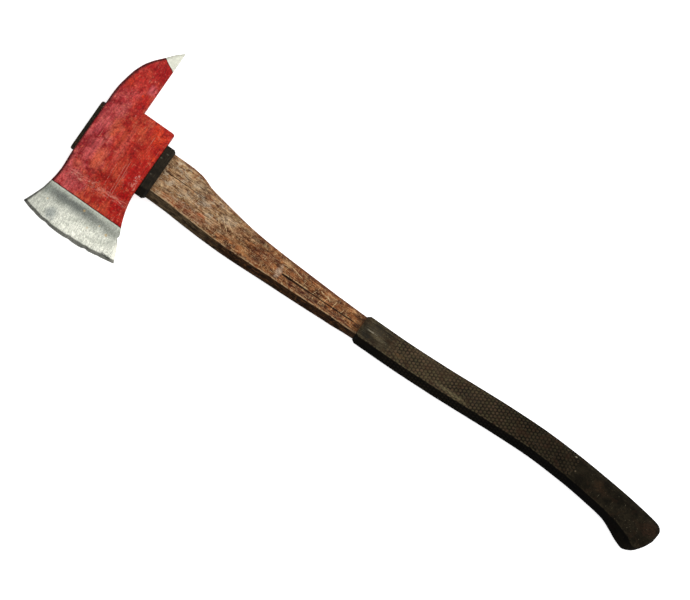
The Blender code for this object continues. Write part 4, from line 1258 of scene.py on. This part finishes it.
def haft_colour(f):
    """Hickory: grey tan near the head, red brown towards the grip and along the belly side."""
    blotch = f.noise(8, 61, 6, (2, 1, 1), 0.68)
    bleached = f.span(f.noise(7, 55, 5, (1.7, 1, 1), 0.65), 0.50, 0.60)
    stained = f.span(f.noise(6, 56, 5, (1.5, 1, 1), 0.65), 0.53, 0.62)
    tan = f.clouds(blotch, 0.36, 0.62, (120, 82, 50), (188, 152, 114))
    tan = f.over(tan, (194, 174, 148), bleached, 0.75)
    tan = f.over(tan, (130, 76, 38), stained, 0.75)
    brown = f.clouds(blotch, 0.37, 0.62, (66, 30, 15), (152, 92, 52))
    brown = f.over(brown, (180, 126, 78), bleached, 0.55)
    brown = f.over(brown, (62, 25, 17), stained, 0.8)
    place = f.plus(f.x, f.wander(210, 14, 64, 6, (2.2, 1, 1), 0.65), f.times(f.y, -2.2))
    colour = f.over(tan, brown, f.span(place, 150, 214))
    flaky = f.span(f.noise(2.4, 80, 4, (3, 1, 1), 0.65), 0.36, 0.56, 0.5, 1)
    return wood_grain(f, f.patches(colour, WOOD_PATCHES, flaky))


def straight_strokes(f, seed, turn, width):
    """Short, fine scratches that all lie at the same angle to X, in places."""
    cosine, sine = math.cos(turn), math.sin(turn)
    run = f.plus(f.times(f.x, cosine), f.times(f.y, sine))
    off = f.plus(f.times(f.x, -sine), f.times(f.y, cosine))
    strokes = f.noise_at(f.combined(f.times(run, 1 / (14 * width)), f.times(off, 1 / width), seed), 2)
    return f.times(f.span(strokes, 0.60, 0.68), f.span(f.noise(9, seed), 0.48, 0.58))


def painted_belly_shade(f, fibre):
    """Painted shade on the haft's belly side: dark, browner away from the head, with paler flecks."""
    grey = f.clouds(f.noise(4, 73, 5, (3, 1, 1), 0.65), 0.36, 0.62, (32, 24, 14), (70, 57, 40))
    brown = f.clouds(f.noise(3, 77, 5, (3, 1, 1), 0.65), 0.36, 0.66, (8, 3, 1), (46, 27, 12))
    belly_shade = f.over(grey, brown, f.span(f.x, 130, 190))
    belly_shade = f.shade(belly_shade, fibre, 0.36, 0.64, 0.4, 1.7)
    fleck = f.clouds(f.x, 150, 210, (108, 94, 70), (104, 68, 38))
    return f.over(belly_shade, fleck, f.span(f.noise(1.6, 79, 4, (4, 1, 1)), 0.55, 0.66), 0.5)


def haft_finish():
    """Hickory long used: open fibres, pale scratches, dirt, and painted shade on the belly and next to the
    collar and grip.
    """
    f = Finish("weathered_hickory", 0.05)
    colour, fibre = haft_colour(f)
    for strokes in WOOD_STROKES:
        colour = f.over(colour, WOOD_SCRATCH, straight_strokes(f, *strokes), 0.7)
    dirt = f.span(f.noise(2.2, 69, 5, (3.5, 1, 1), 0.65), 0.53, 0.63)
    colour = f.over(colour, (56, 30, 20), dirt, 0.65)
    colour = f.scratches(colour, WOOD_SCRATCHES, WOOD_SCRATCH, 0.44, 0.75)
    worn = f.span(f.noise(1.8, 71, 4, (2.5, 1, 1)), 0.38, 0.54)
    colour = f.over(colour, (206, 172, 130), f.attribute("belly_arris"), worn, 0.8)
    dirty = f.span(f.noise(6, 72, 3, (2.5, 1, 1)), 0.34, 0.6, 0.2, 0.75)
    colour = f.over(colour, (92, 52, 32), f.attribute("back_arris"), dirty)
    # Painted shade over the belly side of the haft.
    colour = f.over(colour, painted_belly_shade(f, fibre), f.attribute("belly"), 0.98)
    # Painted shade: darker wood next to the collar and the grip.
    near_collar = f.span(f.plus(f.x, f.times(f.noise(5, 74), 9)), 76, 64)
    near_grip = f.span(f.plus(f.x, f.times(f.noise(5, 75), 10)), 378, 395)
    colour = f.over(colour, (40, 28, 18), f.calc("MAXIMUM", near_collar, near_grip), 0.7)
    colour = f.over(colour, (24, 15, 9), f.span(f.attribute("crack"), 0.12, 0.7), 0.95)
    roughness = f.span(f.noise(3, 76, 3, (4, 1, 1)), 0.3, 0.7, 0.62, 0.86)
    return f.finish(colour, roughness, [(fibre, 0.5)])


def rubber_colour(f, dark, dusty):
    """Mottled rubber, and the height of its fine grain."""
    grain = f.noise(2, 82, 5, crisp=0.68)
    colour = f.clouds(f.noise(15, 81, 6, (1.8, 1, 1), 0.65), 0.34, 0.66, dark, dusty)
    return f.shade(colour, grain, 0.33, 0.67, 0.62, 1.42), grain


# Scuffs and stains on the grip: (X, Y), half sizes, tone, share.
GRIP_PATCHES = [
    ((848, -12), (16, 13), (54, 37, 27), 0.7), ((761, -4), (13, 9), (50, 35, 22), 0.6),
    ((405, -8.5), (13, 1.3), (164, 156, 134), 0.7), ((419, -11), (15, 3), (112, 103, 82), 0.5),
    ((410, -3), (20, 8), (50, 47, 41), 0.7), ((404, -17), (14, 6), (36, 34, 29), 0.8),
    ((396, -6), (5, 12), (40, 38, 32), 0.7), ((716, 10.5), (2.6, 1.3), (158, 148, 128), 0.95),
    ((725, -5), (1.5, 1.2), (138, 122, 98), 0.8), ((532, -15), (36, 3.6), (124, 114, 84), 0.5),
    ((452, -14), (12, 4), (96, 72, 46), 0.5), ((500, 2), (34, 6), (66, 54, 40), 0.4),
    ((560, -4), (26, 9), (34, 30, 26), 0.45), ((766, -6), (16, 7), (46, 34, 23), 0.35),
    ((846, -12), (13, 12), (44, 32, 22), 0.35),
]
COLLAR_SPOT = (96, 92, 78)
# Worn spots on the collar, in the same way.
COLLAR_PATCHES = [
    ((51.5, 20), (2.4, 1.6), COLLAR_SPOT, 0.5), ((52, -5), (1.8, 1.2), COLLAR_SPOT, 0.5),
    ((56, 28), (3, 1.4), COLLAR_SPOT, 0.5),
]


def grip_finish():
    """Black rubber gone brown with dust, most of all near the head, with worn tops on its dots."""
    f = Finish("dusty_black_rubber", 0.04)
    dot, band = f.attribute("dot"), f.attribute("band")
    colour, grain = rubber_colour(f, (36, 32, 24), (66, 56, 40))
    plain = f.clouds(f.noise(13, 84, 5, crisp=0.65), 0.35, 0.66, (18, 15, 9), (33, 28, 19))
    plain = f.shade(plain, grain, 0.33, 0.67, 0.62, 1.45)
    colour = f.over(colour, plain, f.span(f.plus(f.x, f.times(f.noise(30, 83), 80)), 530, 690))
    # Painted shade: the rubber darker in the grooves between the dots.
    groove = f.times(band, f.span(dot, 0.30, 0), 0.4)
    colour = f.shade(colour, f.calc("SUBTRACT", 1, groove))
    top_tint = f.clouds(f.noise(6, 85, 2), 0.4, 0.6, (88, 80, 54), (98, 76, 58))
    worn_top = f.times(f.span(dot, 0.10, 0.75), f.span(f.x, 730, 470, 0.16, 0.62))
    colour = f.over(colour, top_tint, worn_top, f.span(f.noise(7, 86), 0.3, 0.6, 0.45, 1))
    reddish = f.span(f.noise(12, 87), 0.54, 0.64)
    colour = f.over(colour, (50, 33, 22), reddish, f.span(f.x, 740, 690, 0.2, 0.4))
    streaks = f.span(f.noise(1.2, 88, 4, (10, 1, 1)), 0.55, 0.65)
    colour = f.over(colour, (108, 101, 82), streaks, f.span(f.x, 470, 410), 0.32)
    flaky = f.span(f.noise(1.3, 94, 4, (3, 1, 1), 0.65), 0.42, 0.56, 0.12, 1)
    colour = f.patches(colour, GRIP_PATCHES, flaky)
    colour = f.over(colour, (104, 98, 78), f.span(f.noise(1.8, 89, 2), 0.68, 0.74), 0.6)
    arris = f.times(f.attribute("belly_arris"), f.span(f.noise(4, 90), 0.42, 0.58))
    colour = f.over(colour, (122, 112, 84), arris, f.span(f.x, 760, 520, 0.08, 0.5))
    colour = f.over(colour, (22, 19, 14), f.attribute("back_arris"), 0.55)
    shadow = f.plus(f.times(dot, 0.16), f.span(f.x, 780, 850, 0.07, 0.3))
    colour = f.over(colour, f.shade(colour, shadow), f.attribute("belly"))
    return f.finish(colour, f.span(grain, 0.3, 0.7, 0.70, 0.9), [(grain, 0.22)])


def collar_finish():
    f = Finish("black_collar_rubber", 0.08)
    colour, grain = rubber_colour(f, (24, 20, 14), (38, 32, 23))
    colour = f.over(colour, (78, 70, 54), f.span(f.noise(1.4, 91, 3, (1, 9, 9)), 0.58, 0.68), 0.3)
    colour = f.patches(colour, COLLAR_PATCHES)
    colour = f.over(colour, (92, 84, 66), f.span(f.noise(1.3, 92, 2), 0.70, 0.76), 0.4)
    # Painted shade: the collar darker on its belly side.
    colour = f.over(colour, f.shade(colour, 0.35), f.attribute("belly"))
    return f.finish(colour, f.span(grain, 0.3, 0.7, 0.62, 0.82), [(grain, 0.2)])


def plate_finish():
    f = Finish("worn_black_coating", 0.15)
    cloud, grain = f.noise(6, 93, 5), f.noise(1, 94, 4)
    colour = f.shade(f.clouds(cloud, 0.34, 0.64, (18, 14, 5), (37, 31, 16)), grain, 0.3, 0.7, 0.7, 1.35)
    colour = f.over(colour, (120, 112, 86), f.span(f.noise(2, 95), 0.64, 0.72), 0.6)
    colour = f.over(colour, (84, 50, 26), f.span(f.noise(3.6, 96, 4), 0.60, 0.70), 0.5)
    return f.finish(colour, f.span(cloud, 0.3, 0.7, 0.5, 0.75), [(grain, 0.2)], 0.25)


def plain_steel_finish(name, rusty):
    f = Finish(name, 0.5)
    cloud, streak = f.noise(3, 97, 4), f.noise(0.6, 98, 3, (9, 1, 1))
    colour = f.clouds(cloud, 0.35, 0.65, (128, 126, 118), (178, 176, 166))
    colour = f.shade(colour, streak, 0.3, 0.7, 0.8, 1.15)
    colour = f.over(colour, (112, 62, 30), f.span(f.noise(2.2, 99, 4), 0.52, 0.66), rusty)
    return f.finish(colour, f.span(cloud, 0.3, 0.7, 0.35, 0.6), [(streak, 0.08)], 0.9)


def wedge_wood_finish():
    f = Finish("sawn_wedge_wood", 0.25)
    sawn = f.clouds(f.noise(8, 78, 4, (2, 1, 1)), 0.34, 0.66, (164, 124, 84), (206, 176, 132))
    colour, fibre = wood_grain(f, sawn)
    return f.finish(colour, f.span(fibre, 0.3, 0.7, 0.7, 0.88), [(fibre, 0.3)])


# ---- stage ----
CAMERA_AIM = (0.3526, 0.0055)  # the middle of the picture, in metres
CAMERA_TURN = 35  # degrees that the axe is turned in the picture
CAMERA_HEIGHT = 12
VIEW_WIDTH = 0.897
FLOOR_HALF_SIZE = 20
FLOOR_GAP = 0.0002  # keeps the floor's surface clear of the axe's lowest points
FLOOR_GLOW = 0.6
LIGHTS_AIM = Vector((0.3, 0, 0))
LIGHTS_DISTANCE = 3
SKY_STRENGTH = 0.42


def add_object(name, data):
    thing = bpy.data.objects.new(name, data)
    bpy.context.scene.collection.objects.link(thing)
    return thing


def make_camera():
    """Looks straight down on the axe from far off."""
    data = bpy.data.cameras.new("camera")
    camera = add_object("camera", data)
    camera.location = (*CAMERA_AIM, CAMERA_HEIGHT)
    camera.rotation_euler = (0, 0, math.radians(CAMERA_TURN))
    data.sensor_width = 36
    data.lens = data.sensor_width * (CAMERA_HEIGHT - MID_HEIGHT * MM) / VIEW_WIDTH
    data.clip_end = 100
    bpy.context.scene.camera = camera


def make_floor():
    """A plain, pale floor that the axe lies on. It glows a little, so that shadows stay faint."""
    corners = [(a * FLOOR_HALF_SIZE, b * FLOOR_HALF_SIZE, 0) for a, b in ((-1, -1), (1, -1), (1, 1), (-1, 1))]
    mesh = bpy.data.meshes.new("floor")
    mesh.from_pydata(corners, [], [(0, 1, 2, 3)])
    floor = add_object("floor", mesh)
    floor.location.z = HEAD_LOW.z - FLOOR_GAP
    f = Finish("pale_floor", 0)
    f.shader.inputs["Emission Color"].default_value = (1, 1, 1, 1)
    f.shader.inputs["Emission Strength"].default_value = FLOOR_GLOW
    mesh.materials.append(f.finish((0.93, 0.93, 0.93, 1), 0.9))


def make_softbox(name, azimuth, elevation, size, power):
    """A square soft light that faces the axe's head from a direction given in degrees."""
    light = bpy.data.lights.new(name, "AREA")
    light.size = size
    light.energy = power
    box = add_object(name, light)
    a, e = math.radians(azimuth), math.radians(elevation)
    direction = Vector((math.cos(a) * math.cos(e), math.sin(a) * math.cos(e), math.sin(e)))
    box.location = LIGHTS_AIM + direction * LIGHTS_DISTANCE
    box.rotation_euler = direction.to_track_quat("Z", "Y").to_euler()
    box.visible_camera = False


def make_lights():
    make_softbox("overhead_softbox", 50, 76, 5, 84)
    make_softbox("key_softbox", 55, 42, 2.6, 44)
    world = bpy.data.worlds.new("studio")
    world.use_nodes = True
    background = world.node_tree.nodes["Background"]
    background.inputs["Color"].default_value = (1, 1, 1, 1)
    background.inputs["Strength"].default_value = SKY_STRENGTH
    bpy.context.scene.world = world
    bpy.context.scene.view_settings.view_transform = "Standard"


def paint_node(name, material):
    """A CAD node that is shown as it is, with a better material."""
    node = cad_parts[name]
    node.data.materials.clear()
    node.data.materials.append(material)


def main():
    make_head(head_finish())
    make_haft(haft_finish())
    make_grip(grip_finish())
    make_collar(collar_finish())
    make_plate(plate_finish())
    make_screws(plain_steel_finish("screw_steel", 0.35))
    paint_node("kerf_wedge", wedge_wood_finish())
    wedge_steel = plain_steel_finish("wedge_steel", 0.6)
    for name in ("steel_wedge_pick_side", "steel_wedge_edge_side"):
        paint_node(name, wedge_steel)
    make_floor()
    make_lights()
    make_camera()


main()
